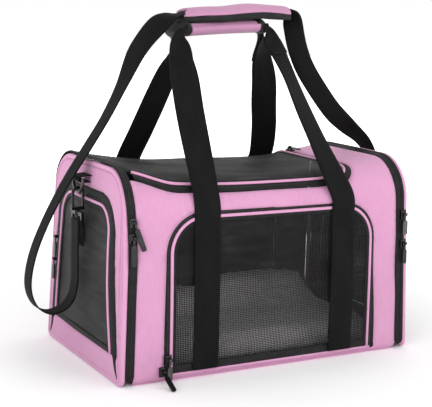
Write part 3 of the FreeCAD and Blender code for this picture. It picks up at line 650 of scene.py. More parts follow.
def tape_cloth(name, base=0.011):
    n = Nodes(name)
    uv = n.coords()
    x, y, _ = n.xyz(uv)
    h = n.math("MULTIPLY_ADD", n.sine(n.math("ADD", x, y), 0.0011 / 2), 0.5, 0.5)
    wear = n.noise(uv, 70.0, 3.0, 0.6)
    color = n.ramp(n.total((h, 0.4), (wear, 0.6)), (0.3, base * 0.5), (0.6, base), (0.9, base * 3.0))
    return n.shade(color, 0.62, n.bump(h, 0.5, 0.0003), sheen=0.02, specular=0.14)


def dark_cloth(name, base):
    n = Nodes(name)
    uv = n.coords()
    h = weave_height(n, uv, 0.0009)
    wear = n.noise(uv, 30.0, 4.0, 0.6)
    color = n.ramp(n.total((h, 0.35), (wear, 0.65)), (0.3, base * 0.5), (0.6, base), (0.95, base * 2.4))
    return n.shade(color, 0.8, n.bump(h, 0.5, 0.0004), sheen=0.02, specular=0.08)


def plush(name):
    n = Nodes(name)
    p = n.coords("Object")
    curl = n.noise(p, 240.0, 4.0, 0.7)
    tuft = n.noise(p, 48.0, 3.0, 0.6)
    tone = n.noise(p, 12.0, 2.0, 0.5)
    color = n.ramp(n.total((curl, 0.4), (tuft, 0.35), (tone, 0.25)), (0.3, (0.60, 0.57, 0.56)),
                   (0.5, (0.86, 0.83, 0.82)), (0.75, (0.97, 0.95, 0.94)))
    normal = n.bump(curl, 0.9, 0.0022, n.bump(tuft, 0.8, 0.005))
    return n.shade(color, 0.95, normal, sheen=0.3, sheen_rough=0.6, specular=0.1)


def metal(name, dark=0.05, light=0.14, rough=0.34):
    n = Nodes(name)
    p = n.coords("Object")
    grain = n.noise(p, 900.0, 2.0, 0.5, (1, 1, 0.15))
    wear = n.noise(p, 160.0, 4.0, 0.65)
    color = n.ramp(n.total((grain, 0.35), (wear, 0.65)), (0.3, dark), (0.6, (dark + light) / 2),
                   (0.85, (light, light, light * 1.03)))
    r = n.math("MULTIPLY_ADD", wear, 0.22, rough - 0.1)
    return n.shade(color, r, n.bump(grain, 0.12, 0.0002), metallic=1.0, specular=0.5)


def moulded(name, base=0.014, rough=0.4):
    n = Nodes(name)
    p = n.coords("Object")
    grain = n.noise(p, 1500.0, 3.0, 0.6)
    wear = n.noise(p, 120.0, 3.0, 0.6)
    color = n.ramp(wear, (0.3, base * 0.6), (0.6, base), (0.9, base * 2.2))
    r = n.math("MULTIPLY_ADD", wear, 0.2, rough - 0.1)
    return n.shade(color, r, n.bump(grain, 0.25, 0.0002), specular=0.3)


PINK = pink_cloth("pink_weave")
# painted shade: a darker copy of the pink cloth for the shoulder pad's cover, whose upward faces get less of the
# front light
SHADED_PAD_PINK = pink_cloth("pad_weave_painted_shade", lighter=0.80)
# painted shade: a darker copy of the pink cloth for the grip's sleeve and flap, which lie in the shadow of the
# shoulder pad
SHADED_GRIP_PINK = pink_cloth("grip_weave_painted_shade", lighter=0.72)
PINK_CORD = pink_cloth("pink_piping", lighter=1.06)
WEBBING = web_cloth("webbing_weave")
HANDLE_WEB = web_cloth("handle_weave", pitch=0.0021)
MESH = open_mesh("mesh_weave", cover=0.48)
END_MESH = open_mesh("end_weave", cover=0.90, tone=0.03)
# painted light: the top door's net gets a paler tone than the front net because it catches the light from above on
# its wrinkles
LIT_TOP_MESH = open_mesh("top_weave_painted_light", cover=0.66, tone=0.045)
DENSE = open_mesh("window_weave", cover=1.0, tone=0.02)
TAPE = tape_cloth("zip_weave")
LINING = dark_cloth("lining_weave", 0.02)
BINDING = tape_cloth("binding_weave", 0.013)
THREAD = web_cloth("thread_black", 0.0008, 0.02, 0.05)
PINK_THREAD = pink_cloth("thread_pink", lighter=0.9)
FLEECE = plush("fleece_pile")
METAL = metal("gun_metal")
DARK_METAL = metal("black_nickel", 0.02, 0.06, 0.3)
PLASTIC = moulded("black_moulded")
BOARD = moulded("board_grain", 0.03, 0.8)


# ------------------------------------------------------------------ strips that follow the skins
def loop_offset(pts, fn):
    """Moves each point of an open line to its right-hand side by fn(point)."""
    p = np.asarray(pts, float)
    t = np.gradient(p, axis=0)
    t /= np.linalg.norm(t, axis=1)[:, None] + 1e-12
    n = np.stack([t[:, 1], -t[:, 0]], -1)
    return p + n * np.array([fn(*q) for q in p])[:, None]


def flat_strip(path, normals, width, thick=0.001, dome=0.0):
    xs = np.linspace(-width / 2, width / 2, 6)
    top = [(x, thick / 2 + dome * (1 - (2 * x / width) ** 2)) for x in xs]
    low = [(x, -thick / 2 + dome * (1 - (2 * x / width) ** 2)) for x in xs[::-1]]
    outline = top + [(width / 2 + thick * 0.35, 0)] + low + [(-width / 2 - thick * 0.35, 0)]
    return sweep(path, normals, outline)


def lined(ob):
    """The inner faces of a panel take the dark lining."""
    ob.data.materials.append(LINING)
    count = sum(len(f.vertices) == 3 for f in ob.data.polygons) // 2
    idx = np.zeros(len(ob.data.polygons), np.int32)
    idx[count:2 * count] = 1
    ob.data.polygons.foreach_set("material_index", idx)
    return ob


def on_wall(line, off):
    """Places and normals on the bag's side for a line of (x, distance up the section)."""
    x, v = np.asarray(line, float).T
    return skin(x, v, off), skin_normal(x, v)


def on_end(side):
    """The same on an end wall, for a line of (y, z)."""
    place, e = end_skin(side), 1e-4

    def on(line, off):
        y, z = np.asarray(line, float).T
        along, up = place(y + e, z, off) - place(y - e, z, off), place(y, z + e, off) - place(y, z - e, off)
        nrm = np.cross(along, up) * side
        return place(y, z, off), nrm / np.linalg.norm(nrm, axis=1)[:, None]
    return on


def strip_on(wall, line, off, width, thick=0.001, dome=0.0):
    return flat_strip(*wall(line, off), width, thick, dome)


def cord_on(wall, line, off, r, n=12, flat=0.9):
    return sweep(*wall(line, off), circle(r, n, flat))


def teeth_on(wall, line, off):
    return coil(*wall(line, off))


def level(x0, x1, v, n=60):
    """A line across the wall at one height."""
    return [(x, v) for x in np.linspace(x0, x1, n)]


def on_back(line):
    """The line's mirror on the back wall."""
    return [(x, 2 * MID_V - v) for x, v in line]


# ------------------------------------------------------------------ the wrap: front, top and back in one skin
def x_end(v, depth):
    _, z, _, _, _ = section(v)
    return end_x(z, depth)


def seam_v(x):
    """The top door's front seam runs up towards the top where it meets the left hoop."""
    return 0.017 * float(smooth((-0.140 - x) / 0.062))


def top_seam(inset):
    return [(x, v + seam_v(x)) for x, v in top_line(inset)]


def hood_front(x, v):
    """How far the cloth reaches over the front door's zip: further towards the top."""
    z = v + FOOT_R
    if x < 0:
        return 0.0005 + 0.0025 * float(smooth((z - 0.05) / 0.14))
    return -0.0016 + 0.0066 * float(smooth((z - 0.03) / 0.13))


PANEL_D, RIGHT_WIDER = 0.0178, 0.0020    # the cloth's edge inside a hoop; more of the right hoop's zip shows


def folded(v):
    """The distance up the section from the nearer foot."""
    return np.where(v > MID_V, 2 * MID_V - v, v)


def zip_shift(side, v):
    """Over the shoulder and the top, the left hoop's zip lies nearer the edge."""
    return (0.0062 if side < 0 else 0.0) * smooth((folded(np.asarray(v, float)) - 0.14) / 0.10)


def left_x(v):
    return -x_end(v, PANEL_D - zip_shift(-1, v))


V_LOW = -FOOT_V - 0.012
V_TOP = 2 * MID_V - V_LOW
edge_v = np.linspace(V_LOW, V_TOP, 120)
hinge_v = float(v_of_y(TOP_HALF))
outer = [(float(x_end(v, PANEL_D + RIGHT_WIDER)), float(v)) for v in edge_v]
left_edge = [(float(left_x(v)), float(v)) for v in edge_v[::-1]]
cut = [p for p in top_seam(-0.0002) if p[0] > left_x(p[1])]
wrap_loop = (outer + level(outer[-1][0], left_edge[0][0], V_TOP)[1:-1]
             + [p for p in left_edge if p[1] > hinge_v + 0.002]
             + level(TOP_X1, float(left_x(hinge_v)), hinge_v, 40)[::-1]
             + cut[::-1][1:] + [p for p in left_edge if p[1] < cut[0][1] - 0.002]
             + level(left_edge[-1][0], outer[0][0], V_LOW)[1:-1])
front_hole = [tuple(p) for p in loop_offset(front_line(0.0, 0.0062), hood_front)]
back_hole = on_back(front_line(0.0082, 0.0165))


def buckle(p):
    """Soft creases: the fabric puckers a little round the doors."""
    x, w = p[:, 0], folded(p[:, 1])
    side = np.clip((np.abs(x) - 0.160) / 0.03, 0, 1)
    ripple = 0.0007 * np.sin(w * 62 + x * 21) * side * np.clip(1 - np.abs(w - 0.11) / 0.11, 0, 1)
    over = 0.0006 * np.sin(x * 47 + 1.3) * np.clip(1 - np.abs(w - 0.235) / 0.03, 0, 1)
    return ripple + over


loops = [wrap_loop, front_hole, back_hole]
wrap = lined(sheet_mesh("body_wrap", skin, loops, 0.0062, 0.0016, PINK, 0.0022, 0.0002, buckle))
put(wrap, "shell", "pink_fabric", "front_panel", "back_panel", "top_panel")


# ------------------------------------------------------------------ the two hoops: piping, zip and their ends
def hoop_path(side, depth, v0, v1, off, n=260):
    v = np.linspace(v0, v1, n)
    x = side * x_end(v, depth - zip_shift(side, v))
    return skin(x, v, off), skin_normal(x, v)


def closed_hoop(side, depth, off):
    """The whole way round an end, under the bag as well."""
    half = FOOT_V + HALF_W - FOOT_R
    v = np.linspace(-half, 2 * MID_V + half, 360, endpoint=False)
    shift = zip_shift(side, v)
    x = side * x_end(v, depth - 0.2 * shift)
    pts = skin(x, v, off - 0.55 * shift)
    pts[:, 2] = np.maximum(pts[:, 2], 0.0034)
    return pts, skin_normal(x, v)


hoops = [sweep(*closed_hoop(side, 0.0034, -0.0031), circle(0.0034, 14, 0.95), True) for side in (-1, 1)]
piece("edge_piping", hoops, PINK_CORD, "shell", "pink_fabric", "edge_pipings")

tapes, coils = [], []
TONGUE = [(x * 0.0056, y * 0.0011) for x, y in circle(1.0, 12)]
V_ZIP = 0.0015
for side in (-1, 1):
    wider = RIGHT_WIDER if side > 0 else 0.0
    for depth, width, off, dome in ((0.0093, 0.0056, -0.0004, 0.0009),
                                    (0.0152 + wider / 2, 0.0054 + wider, -0.0009, 0.0003)):
        tapes.append(flat_strip(*hoop_path(side, depth, V_ZIP, 2 * MID_V - V_ZIP, off), width, 0.0012, dome))
    for depth in (0.0116, 0.0130):
        coils.append(coil(*hoop_path(side, depth, V_ZIP, 2 * MID_V - V_ZIP, -0.0007, 900), r=0.0009))
    for v, reach in ((V_ZIP, -0.006), (2 * MID_V - V_ZIP, 0.006)):
        narrowing = np.sqrt(np.clip(1 - np.linspace(0, 1, 14) ** 2, 0.02, 1))
        tapes.append(sweep(*hoop_path(side, 0.0123, v, v + reach, -0.0010, 14), TONGUE, False, narrowing))

# the doors' zips: the tapes lie a little under the cloth, the doors' edges a little over the tapes
ZIP_OFF = -0.0012
TAPE_OFF, EDGE_OFF = ZIP_OFF - 0.0004, ZIP_OFF + 0.0002
TEETH_IN, DOOR_TEETH_IN = 0.0047, 0.0060


def above_left_hoop(line):
    return [q for q in line if q[0] > -x_end(q[1], 0.018)]


tapes.append(strip_on(on_wall, front_line(0.0014), TAPE_OFF, 0.0076))
coils.append(teeth_on(on_wall, front_line(TEETH_IN), ZIP_OFF))
tapes.append(strip_on(on_wall, above_left_hoop(top_seam(0.0027)), TAPE_OFF, 0.0054))
coils.append(teeth_on(on_wall, above_left_hoop(top_seam(TEETH_IN)), ZIP_OFF))


def end_line(inset, foot=None):
    return door_outline(END, inset, foot)


for side in (-1, 1):
    wall = on_end(side)
    tapes.append(strip_on(wall, end_line(0.0009), -0.0004, 0.0106, dome=0.0006))
    coils.append(teeth_on(wall, end_line(TEETH_IN), 0.0))
    for back in (-1, 1):
        foot = spline([(back * 0.1074, 0.037, 0), (back * 0.1090, 0.026, 0), (back * 0.1122, 0.016, 0),
                       (back * 0.1165, 0.0085, 0)], 8)
        narrowing = np.linspace(1, 0.25, len(foot)) ** 0.8
        outline = [(x * 0.0047, y * 0.0011) for x, y in circle(1.0, 12)]
        tapes.append(sweep(*wall(foot[:, :2], 0.0003), outline, False, narrowing))
piece("zip_tape_all", tapes, TAPE, "shell", "zip_tape", "zip_tapes")
piece("zip_teeth_all", coils, DARK_METAL, "shell", "zip_tape")

# ------------------------------------------------------------------ end panels
threads, pink_threads = [], []
for side, word in ((-1, "left"), (1, "right")):
    loops = [arch_outline(0.0046), end_line(-0.0036, 0.0372)]
    end = lined(sheet_mesh(word + "_end_cloth", end_skin(side), loops, 0.0060, 0.0016, PINK, 0.0020, 0.0006))
    put(end, "shell", "pink_fabric", word + "_end_panel")
    pink_threads += stitches(*on_end(side)(arch_outline(0.0100)[6:-6], 0.0008), 0.0036, 0.0025, 0.00030)


# ------------------------------------------------------------------ doors
def mesh_panel(name, place, loop, wrinkle, material, body, node):
    """A stretched net, rippled a little except at its sewn edge."""
    amount, kx, kz, seed, reach = wrinkle
    ph = np.random.default_rng(seed).uniform(0, 6.28, 6)

    def ripple(p):
        x, z = p[:, 0], p[:, 1]
        w = np.sin(kx * x + 3 * np.sin(z * 23 + ph[0]) + ph[1]) * 0.5
        w = w + np.sin(kz * z + 2 * np.sin(x * 17 + ph[2]) + ph[3])
        w += 0.5 * np.sin(kz * 1.9 * z + kx * 0.7 * x + ph[4])
        return amount * w * np.clip(edge_distance(p, [loop]) / reach, 0, 1)

    ob = sheet_mesh(name, place, [loop], 0.0060, 0.0006, material, 0.0, -0.0009, ripple)
    return put(ob, body, "mesh", node)


# front door
PIPE_IN = 0.0102
parts = [strip_on(on_wall, front_line(0.0074), TAPE_OFF, 0.0042),
         strip_on(on_wall, front_line(0.0140), EDGE_OFF, 0.0052, 0.0012, 0.0004),
         strip_on(on_wall, level(-0.1535, 0.1535, 0.0050), ZIP_OFF + 0.0003, 0.0100, 0.0014, 0.0006)]
piece("front_door_binding", parts, BINDING, "front_door", "black_fabric", "front_door_trim")
for name, line, off, r in (("front_door_piping", front_line(PIPE_IN), -0.0004, 0.0021),
                           ("front_door_foot", level(-0.157, 0.157, -0.0012), -0.0006, 0.0018)):
    piece(name, [cord_on(on_wall, line, off, r)], PINK_CORD, "front_door", "pink_fabric")
teeth = teeth_on(on_wall, front_line(DOOR_TEETH_IN), ZIP_OFF)
piece("front_door_teeth", [teeth], DARK_METAL, "front_door", "zip_tape")
mesh_panel("front_mesh", skin, front_line(0.0146, 0.0150), (0.0007, 40, 120, 3, 0.02), MESH, "front_door",
           "front_door_mesh")
for inset in (0.0126, 0.0154):
    rows = stitches(*on_wall(front_line(inset), 0.0), 0.0033, 0.0023, 0.00026)
    threads += [("front_door", c) for c in rows]

# top door
HX = -0.2015    # its left edge


def door_line(inset):
    return [q for q in top_seam(inset) if q[0] > HX]


left_v = np.linspace(door_line(0.010)[0][1], hinge_v - 0.0015, 50)
parts = [strip_on(on_wall, door_line(0.0074), TAPE_OFF, 0.0042),
         strip_on(on_wall, door_line(0.0142), EDGE_OFF, 0.0056, 0.0012, 0.0004),
         strip_on(on_wall, [(HX + 0.0025, v) for v in left_v], ZIP_OFF, 0.0068, 0.0012, 0.0004),
         strip_on(on_wall, level(HX, TOP_X1 - 0.008, hinge_v - 0.0060), ZIP_OFF, 0.0100, 0.0013, 0.0005)]
piece("top_door_binding", parts, BINDING, "top_door", "black_fabric", "top_door_trim")
cord = cord_on(on_wall, door_line(PIPE_IN), -0.0004, 0.0021)
piece("top_door_piping", [cord], PINK_CORD, "top_door", "pink_fabric")
teeth = teeth_on(on_wall, door_line(DOOR_TEETH_IN), ZIP_OFF)
piece("top_door_teeth", [teeth], DARK_METAL, "top_door", "zip_tape")
front_edge, hinge_edge = door_line(0.0146), hinge_v - 0.009
loop = ([(HX + 0.004, hinge_edge)]
        + [(HX + 0.004, v) for v in np.linspace(hinge_v - 0.012, front_edge[0][1] + 0.002, 40)]
        + [q for q in front_edge if q[0] > HX + 0.0045 and q[1] < hinge_v - 0.010]
        + level(TOP_X1 - 0.0146, HX + 0.008, hinge_edge, 50))
mesh_panel("top_mesh", skin, loop, (0.0013, 26, 55, 5, 0.03), LIT_TOP_MESH, "top_door", "top_door_mesh")

# end doors
FOOT_Z = 0.0375
for side, word, net in ((-1, "left", END_MESH), (1, "right", DENSE)):
    body, wall = word + "_door", on_end(side)
    parts = [strip_on(wall, end_line(0.0076, FOOT_Z), -0.0004, 0.0040),
             strip_on(wall, end_line(0.0142, FOOT_Z), -0.0002, 0.0056, 0.0012, 0.0003),
             strip_on(wall, level(-0.104, 0.104, 0.0402, 50), -0.0004, 0.0068, 0.0013, 0.0003)]
    piece(body + "_binding", parts, BINDING, body, "black_fabric", body + "_trim")
    cord = cord_on(wall, end_line(PIPE_IN + 0.0004, FOOT_Z), 0.0004, 0.0019)
    piece(body + "_piping", [cord], PINK_CORD, body, "pink_fabric")
    teeth = teeth_on(wall, end_line(DOOR_TEETH_IN, FOOT_Z), 0.0)
    piece(body + "_teeth", [teeth], DARK_METAL, body, "zip_tape")
    mesh_panel(word + "_mesh", end_skin(side), end_line(0.0146, 0.0425), (0.0007, 60, 90, 9, 0.02), net, body,
               body + "_mesh")

# back window: the same arch, sewn shut
parts = [strip_on(on_wall, on_back(front_line(0.0112, 0.0200)), -0.0008, 0.0058, 0.0012, 0.0004),
         strip_on(on_wall, on_back(level(-0.150, 0.150, 0.0085)), -0.0008, 0.0062, 0.0012, 0.0004)]
piece("back_window_binding", parts, BINDING, "shell", "black_fabric", "back_window_trim")
cord = cord_on(on_wall, on_back(front_line(0.0098, 0.0185)), 0.0002, 0.0018)
piece("back_window_piping", [cord], PINK_CORD, "shell", "pink_fabric")
back_loop = on_back(front_line(0.0145, 0.0195))
mesh_panel("back_window", skin, back_loop, (0.0006, 40, 120, 13, 0.02), DENSE, "shell",
           "back_window_mesh")


# ------------------------------------------------------------------ the bottom
def flat_place(x, y, off=0.0):
    x, y = np.asarray(x, float), np.asarray(y, float)
    return np.stack([x, y, 0.0016 - np.asarray(off, float) + 0 * x], -1)


def rounded_rect(a, b, r):
    centres = (a - r, b - r), (-a + r, b - r), (-a + r, -b + r), (a - r, -b + r)
    return [p for k, (cx, cy) in enumerate(centres) for p in arc(cx, cy, r, k * QUARTER, QUARTER, 10)]


floor_loop = rounded_rect(0.2128, 0.1168, 0.008)
base = sheet_mesh("bottom_cloth", flat_place, [floor_loop], 0.010, 0.0018, PINK, 0.003)
put(base, "shell", "pink_fabric", "bottom_panel")
foot = level(-0.203, 0.203, -FOOT_V * 0.80, 90)
hems = [cord_on(on_wall, line, 0.0002, 0.0015, 10, 1.0) for line in (foot, on_back(foot))]
piece("base_hem", hems, PINK_CORD, "shell", "pink_fabric")


# ------------------------------------------------------------------ handles
OUT = -123.952    # the straps' place on the front wall
ALONG, OVER = (1, 0, 0), (0, 1, 0)
# each leg from the wall up to the grip, in mm: (centre, direction of the width, width)
FRONT_LEFT = [((-104, OUT, 199), ALONG, 37), ((-104.2, OUT + 0.6, 222), ALONG, 37),
              ((-105.5, OUT + 9, 250), ALONG, 37), ((-105.5, -90, 298), (1, -0.2, 0.05), 37),
              ((-104, -67, 338), (1, -0.35, 0.1), 37), ((-101.5, -46, 378), (1, -0.3, 0.1), 37),
              ((-99, -29, 408), (1, -0.05, 0), 33), ((-96, -20, 425), (1, 0.25, 0), 30),
              ((-94, -16, 436), (0.8, 0.6, 0), 26), ((-86, -13, 446), OVER, 18)]
FRONT_RIGHT = [((104, OUT, 199), ALONG, 37), ((103.7, OUT + 0.6, 222), (1, 0.05, 0), 37),
               ((93.5, OUT + 9, 250), (1, 0.15, 0.1), 37), ((81, -90, 295), (0.87, 0.4, 0.15), 37),
               ((70, -68, 336), (0.85, 0.5, 0.15), 37), ((60, -46, 378), (0.83, 0.55, 0.1), 36),
               ((51.5, -30, 406), (0.93, 0.35, 0), 34), ((46.5, -20.5, 420), (0.95, 0.2, 0), 32),
               ((43, -16.5, 433), (0.85, 0.5, 0), 27), ((37, -13, 446), OVER, 18)]
BACK_LEFT = [((-104, -OUT, 199), ALONG, 37), ((-104.2, -OUT - 0.6, 222), ALONG, 37),
             ((-107, -OUT - 8.8, 250), (1, 0, -0.1), 37), ((-99, 90, 294), (0.95, 0.1, -0.3), 37),
             ((-90, 67, 338), (0.92, 0.15, -0.35), 37), ((-83, 47, 376), (0.9, 0.2, -0.3), 35),
             ((-79, 33, 402), (0.9, 0.35, -0.2), 30), ((-84, 22, 422), (0.6, 0.8, 0), 24),
             ((-92.5, 15, 437.5), (0.2, 1, 0), 20), ((-86, 13, 446), OVER, 18)]
BACK_RIGHT = [((104, -OUT, 199), ALONG, 37), ((104.3, -OUT - 0.6, 222), ALONG, 37),
              ((115.5, -OUT - 8.8, 250), (1, -0.2, 0), 37), ((104.5, 90, 292), (0.9, -0.45, 0.05), 37),
              ((90, 69, 332), (0.9, -0.4, 0), 37), ((77, 50, 368), (1, -0.1, 0), 37),
              ((61, 34, 400), (1, 0.3, 0), 34), ((50, 22, 422), (0.7, 0.7, 0), 26),
              ((43, 15, 437.5), (0.2, 1, 0), 20), ((37, 13, 446), OVER, 18)]


def tilt(x):
    """The grip rises a little towards its right end."""
    return 0.055 * (x + 0.019)


def metres(rows):
    out = []
    for (x, y, z), wide, width in rows:
        x, y, z = x / 1000, y / 1000, z / 1000
        lean = tilt(x) * float(smooth((z - 0.36) / 0.08))
        out.append(((x, y, z + lean), wide, width / 1000))
    return out


def sewn_rows(x, back):
    rows = []
    for z in (0.0115, 0.040, 0.075, 0.110, 0.145, 0.175):
        c = skin(x, z - FOOT_R, 0.0022)
        rows.append(((c[0], -c[1] if back else c[1], c[2]), ALONG, WEB))
    return rows


def folds(left, right):
    """The doubled webbing just under the grip, thicker than a single strap."""
    out = []
    for leg, end in ((left, -0.0885), (right, 0.0265)):
        low, mid, high = leg[-4:-1]
        (x1, y1, z1), (x2, y2, z2), (x3, y3, z3) = [np.array(r[0]) / 1000 for r in (low, mid, high)]
        rows = [((end, y3 * 0.9, 0.4462), (0.2, 1, 0), 0.020),
                ((x3 + (end - x3) * 0.55, y3, 0.4435), (0.35, 1, 0), 0.025),
                ((x3, y3, z3), high[1], max(high[2] / 1000, 0.026)),
                ((x2, y2, z2), mid[1], max(mid[2] / 1000, 0.0305)), ((x1, y1, z1), low[1], low[2] / 1000)]
        out.append(band([((x, y, z + tilt(x)), wide, width) for (x, y, z), wide, width in rows], 0.0046))
    return out


def handle(word, left, right, sewn_to, replaced):
    """A handle's webbing, sewn up the wall on both sides and free from there up to the grip."""
    back, y = word == "back", left[-1][0][1]
    grip = [((x, y, 446.2), OVER, 18) for x in (-77, -58, -24, 8, 28)]
    rows = sewn_rows(-STRAP_X, back) + metres(left + grip + right[::-1]) + sewn_rows(STRAP_X, back)[::-1]
    web = gather(word + "_webbing", [band(rows, WEB_T, 9, 0.0003)], HANDLE_WEB)
    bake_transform(web)
    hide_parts(*replaced)


LEGS = {"front": (FRONT_LEFT, FRONT_RIGHT), "back": (BACK_LEFT, BACK_RIGHT)}
handle("front", *LEGS["front"], "front_door", ("front_sewn_straps", "front_handle_webbing"))
handle("back", *LEGS["back"], "shell", ("back_sewn_straps", "back_handle_webbing"))
for word, legs in LEGS.items():
    piece(word + "_webbing_folds", folds(*legs), HANDLE_WEB, word + "_handle", "black_webbing")

# box stitches where the straps leave the doors, and the long seams down both edges
w, z0, z1 = WEB / 2 - 0.0030, 0.1830, 0.1985
seams = [[(-w, z0), (w, z0), (w, z1), (-w, z1), (-w, z0), (w, z1)], [(-w, z1), (w, z0)]]
seams += [[(dx, z) for z in np.linspace(0.014, z0, 12)] for dx in (-w - 0.0006, w + 0.0006)]
for back, body in ((-1, "front_door"), (1, "shell")):
    for x0 in (-STRAP_X, STRAP_X):
        for seam in seams:
            pts = np.array([skin(x0 + dx, z - FOOT_R, 0.0032) for dx, z in seam]) * (1, -back, 1)
            threads += [(body, c) for c in stitches(pts, (0, back, 0.03), 0.0034, 0.0024, 0.00030)]


def oval_pts(ry, rz, n=40):
    """A flattened oval, squarer than an ellipse."""
    power = 2 / 2.6
    turns = [(math.cos(a), math.sin(a)) for a in np.arange(n) * 2 * math.pi / n]
    return [(math.copysign(abs(c) ** power, c) * ry, math.copysign(abs(s) ** power, s) * rz)
            for c, s in turns]


SLEEVE_C = GRIP_Z + 0.0005
SLEEVE_X = GRIP_X - 0.0125


def grip_path(x0, x1, n):
    xs = np.linspace(x0, x1, n)
    t = (xs - GRIP_X) / GRIP_HALF
    return np.stack([xs, 0 * xs, SLEEVE_C + 0.0014 * (1 - t * t) - 0.0007 + tilt(xs)], -1), t


p, t = grip_path(SLEEVE_X - 0.0530, SLEEVE_X + 0.0530, 40)
u = np.linspace(-1, 1, 40)
s = (0.965 + 0.035 * (1 - u * u)) * (1 - 0.10 * np.clip((np.abs(u) - 0.94) / 0.06, 0, 1) ** 2)
v, f, uv = sweep(p, (0, 0, 1), oval_pts(0.0268, 0.0070), False, s)
wrap_pad = plump(new_object("grip_sleeve", v, f, SHADED_GRIP_PINK, uv), 0.0030, 0.0014)
put(wrap_pad, "front_handle", "pink_fabric", "handle_wrap")
cuffs = []
for x0, x1, out in ((SLEEVE_X - 0.0680, SLEEVE_X - 0.0520, -1), (SLEEVE_X + 0.0520, SLEEVE_X + 0.0710, 1)):
    p, t = grip_path(x0, x1, 16)
    u = np.linspace(-1, 1, 16) * out
    p[:, 2] -= 0.0075 * ((u + 1) / 2) ** 1.8
    s = (0.97 - 0.34 * smooth((u + 1) / 2)) * (1 - 0.06 * np.clip((np.abs(u) - 0.85) / 0.15, 0, 1) ** 2)
    cuffs.append(sweep(p, (0, 0, 1), oval_pts(0.0300, 0.0112), False, s))
piece("grip_cuffs", cuffs, BINDING, "front_handle", "black_fabric")


def flap_outline():
    """The wrap's flap: the lower part of an oval shell round the sleeve."""
    shell = [(-a, b) for a, b in oval_pts(0.0312, 0.0118, 80)]
    shell = [(a, b) for a, b in shell if b <= 0.0024 and a <= 0.012]
    shell.sort(key=lambda q: math.atan2(q[1], q[0]) - (2 * math.pi if q[1] > 0 else 0))
    return shell + [(a * 0.935, b * 0.84) for a, b in shell][::-1]


p, t = grip_path(SLEEVE_X - 0.0520, SLEEVE_X + 0.0520, 44)
u = np.linspace(-1, 1, 44)
v, f, uv = sweep(p, (0, 0, 1), [(-a, b) for a, b in flap_outline()], False, 0.975 + 0.025 * (1 - u * u))
put(new_object("grip_flap", v, f, SHADED_GRIP_PINK, uv), "wrap_flap", "pink_fabric", "wrap_flap")

# ------------------------------------------------------------------ shoulder pad
PAD_Z, PAD_HALF, PAD_X, PAD_C = 0.4570, 0.0270, 0.0845, -0.0045


def pad_half(u):
    a = np.abs(u)
    tip = np.clip(1 - (np.clip(a - 0.90, 0, 1) / 0.112) ** 2, 0.03, 1)
    return PAD_HALF * (1 - 0.30 * a ** 3) * np.sqrt(tip)


def pad_line(u):
    return PAD_Z - 0.0030 * u * u + tilt(u * PAD_X) + 0.0010 * np.sin(u * 5.0)


def pad_grid(name, low, high, material, ends=lambda s: 1.0, width=1.0):
    """A pad between two height functions of (u, s): u runs along it and s across it, from -1 to 1."""
    nu, ns = 60, 24
    verts, uv = [], []
    ss = np.sin(np.linspace(-1, 1, ns) * QUARTER)
    for height in (high, low):
        for t in np.sin(np.linspace(-1, 1, nu) * QUARTER):
            for s in ss:
                u = ends(s) * t
                z = float(pad_line(u) + height(u, s))
                verts.append((u * PAD_X + PAD_C, s * width * float(pad_half(u)), z))
                uv.append((u * PAD_X, s * PAD_HALF * 1.05))
    return new_object(name, verts, slab_faces(nu, ns), material, np.array(uv))


def crown(s, p=2.4):
    return max(0.0, 1 - abs(s) ** p) ** 0.75


core = pad_grid("pad_core", lambda u, s: 0.0004 + 0.0030 * crown(s, 2.0),
                lambda u, s: 0.0046 + 0.0062 * crown(s), BINDING)
plump(core, 0.0030, 0.0016)
put(core, "shoulder_strap", "black_fabric", "shoulder_pad")
cover = pad_grid(
    "pad_cover",
    lambda u, s: 0.0050 + 0.0066 * crown(s),
    lambda u, s: 0.0066 + (0.0092 + 0.0010 * (1 - u * u)) * crown(s) + 0.0003 * math.sin(u * 9) * crown(s),
    SHADED_PAD_PINK, ends=lambda s: 0.985 - 0.15 * (1 - abs(s)) ** 1.3, width=0.985)
put(cover, "shoulder_strap", "pink_fabric")
rim = []
for a in np.arange(120) * 2 * math.pi / 120:
    c, s = math.cos(a), math.sin(a)
    u = max(-0.999, min(0.999, math.copysign(abs(c) ** 0.35, c)))
    y = float(pad_half(u)) * math.copysign(min(1.0, abs(s) ** 0.35), s)
    rim.append((u * PAD_X + PAD_C, y, float(pad_line(u)) + 0.0012))
v, f, uv = sweep(resample(np.array(rim), 0.002, True), (0, 0, 1), circle(0.0025, 14, 1.75), True)
put(new_object("pad_binding", v, f, BINDING, uv), "shoulder_strap", "black_fabric")

# ------------------------------------------------------------------ shoulder strap
EYE_Z = 0.190
ACROSS = OVER


def eye_turn(side):
    rows = [((side * 0.2268, 0, 0.158), ACROSS, BELT), ((side * 0.2266, 0, 0.175), ACROSS, BELT)]
    turn = arc(0.230, EYE_Z, 0.0034, math.pi, -math.pi, 8)
    return rows + [((side * x, 0, z), ACROSS, BELT) for x, z in turn]


# the belt from the left eye, over the grip and down to the right eye: x and z in mm, direction of the width
LEFT_RUN = [(-233.0, 172.0, ACROSS), (-233.4, 150.0, ACROSS), (-233.0, 124.0, ACROSS), (-233.4, 108.0, ACROSS),
            (-238.0, 88.0, ACROSS), (-250.0, 75.0, ACROSS), (-270.0, 71.0, ACROSS), (-288.5, 83.0, ACROSS),
            (-297.5, 110.0, ACROSS), (-291.0, 150.0, ACROSS), (-272.0, 196.0, ACROSS), (-246.0, 243.0, ACROSS),
            (-219.0, 284.0, ACROSS), (-193.0, 324.0, ACROSS), (-171.0, 365.0, (-0.1, 1, 0.05)),
            (-153.0, 404.0, (-0.4, 0.85, 0.25)), (-139.0, 429.0, (-0.5, 0.75, 0.35)),
            (-121.0, 450.0, (-0.6, 0.62, 0.5)), (-104.0, 460.5, (-0.3, 0.9, 0.25)), (-88.0, 464.0, ACROSS),
            (-70.0, 465.8, ACROSS), (-50.0, 466.8, ACROSS)]
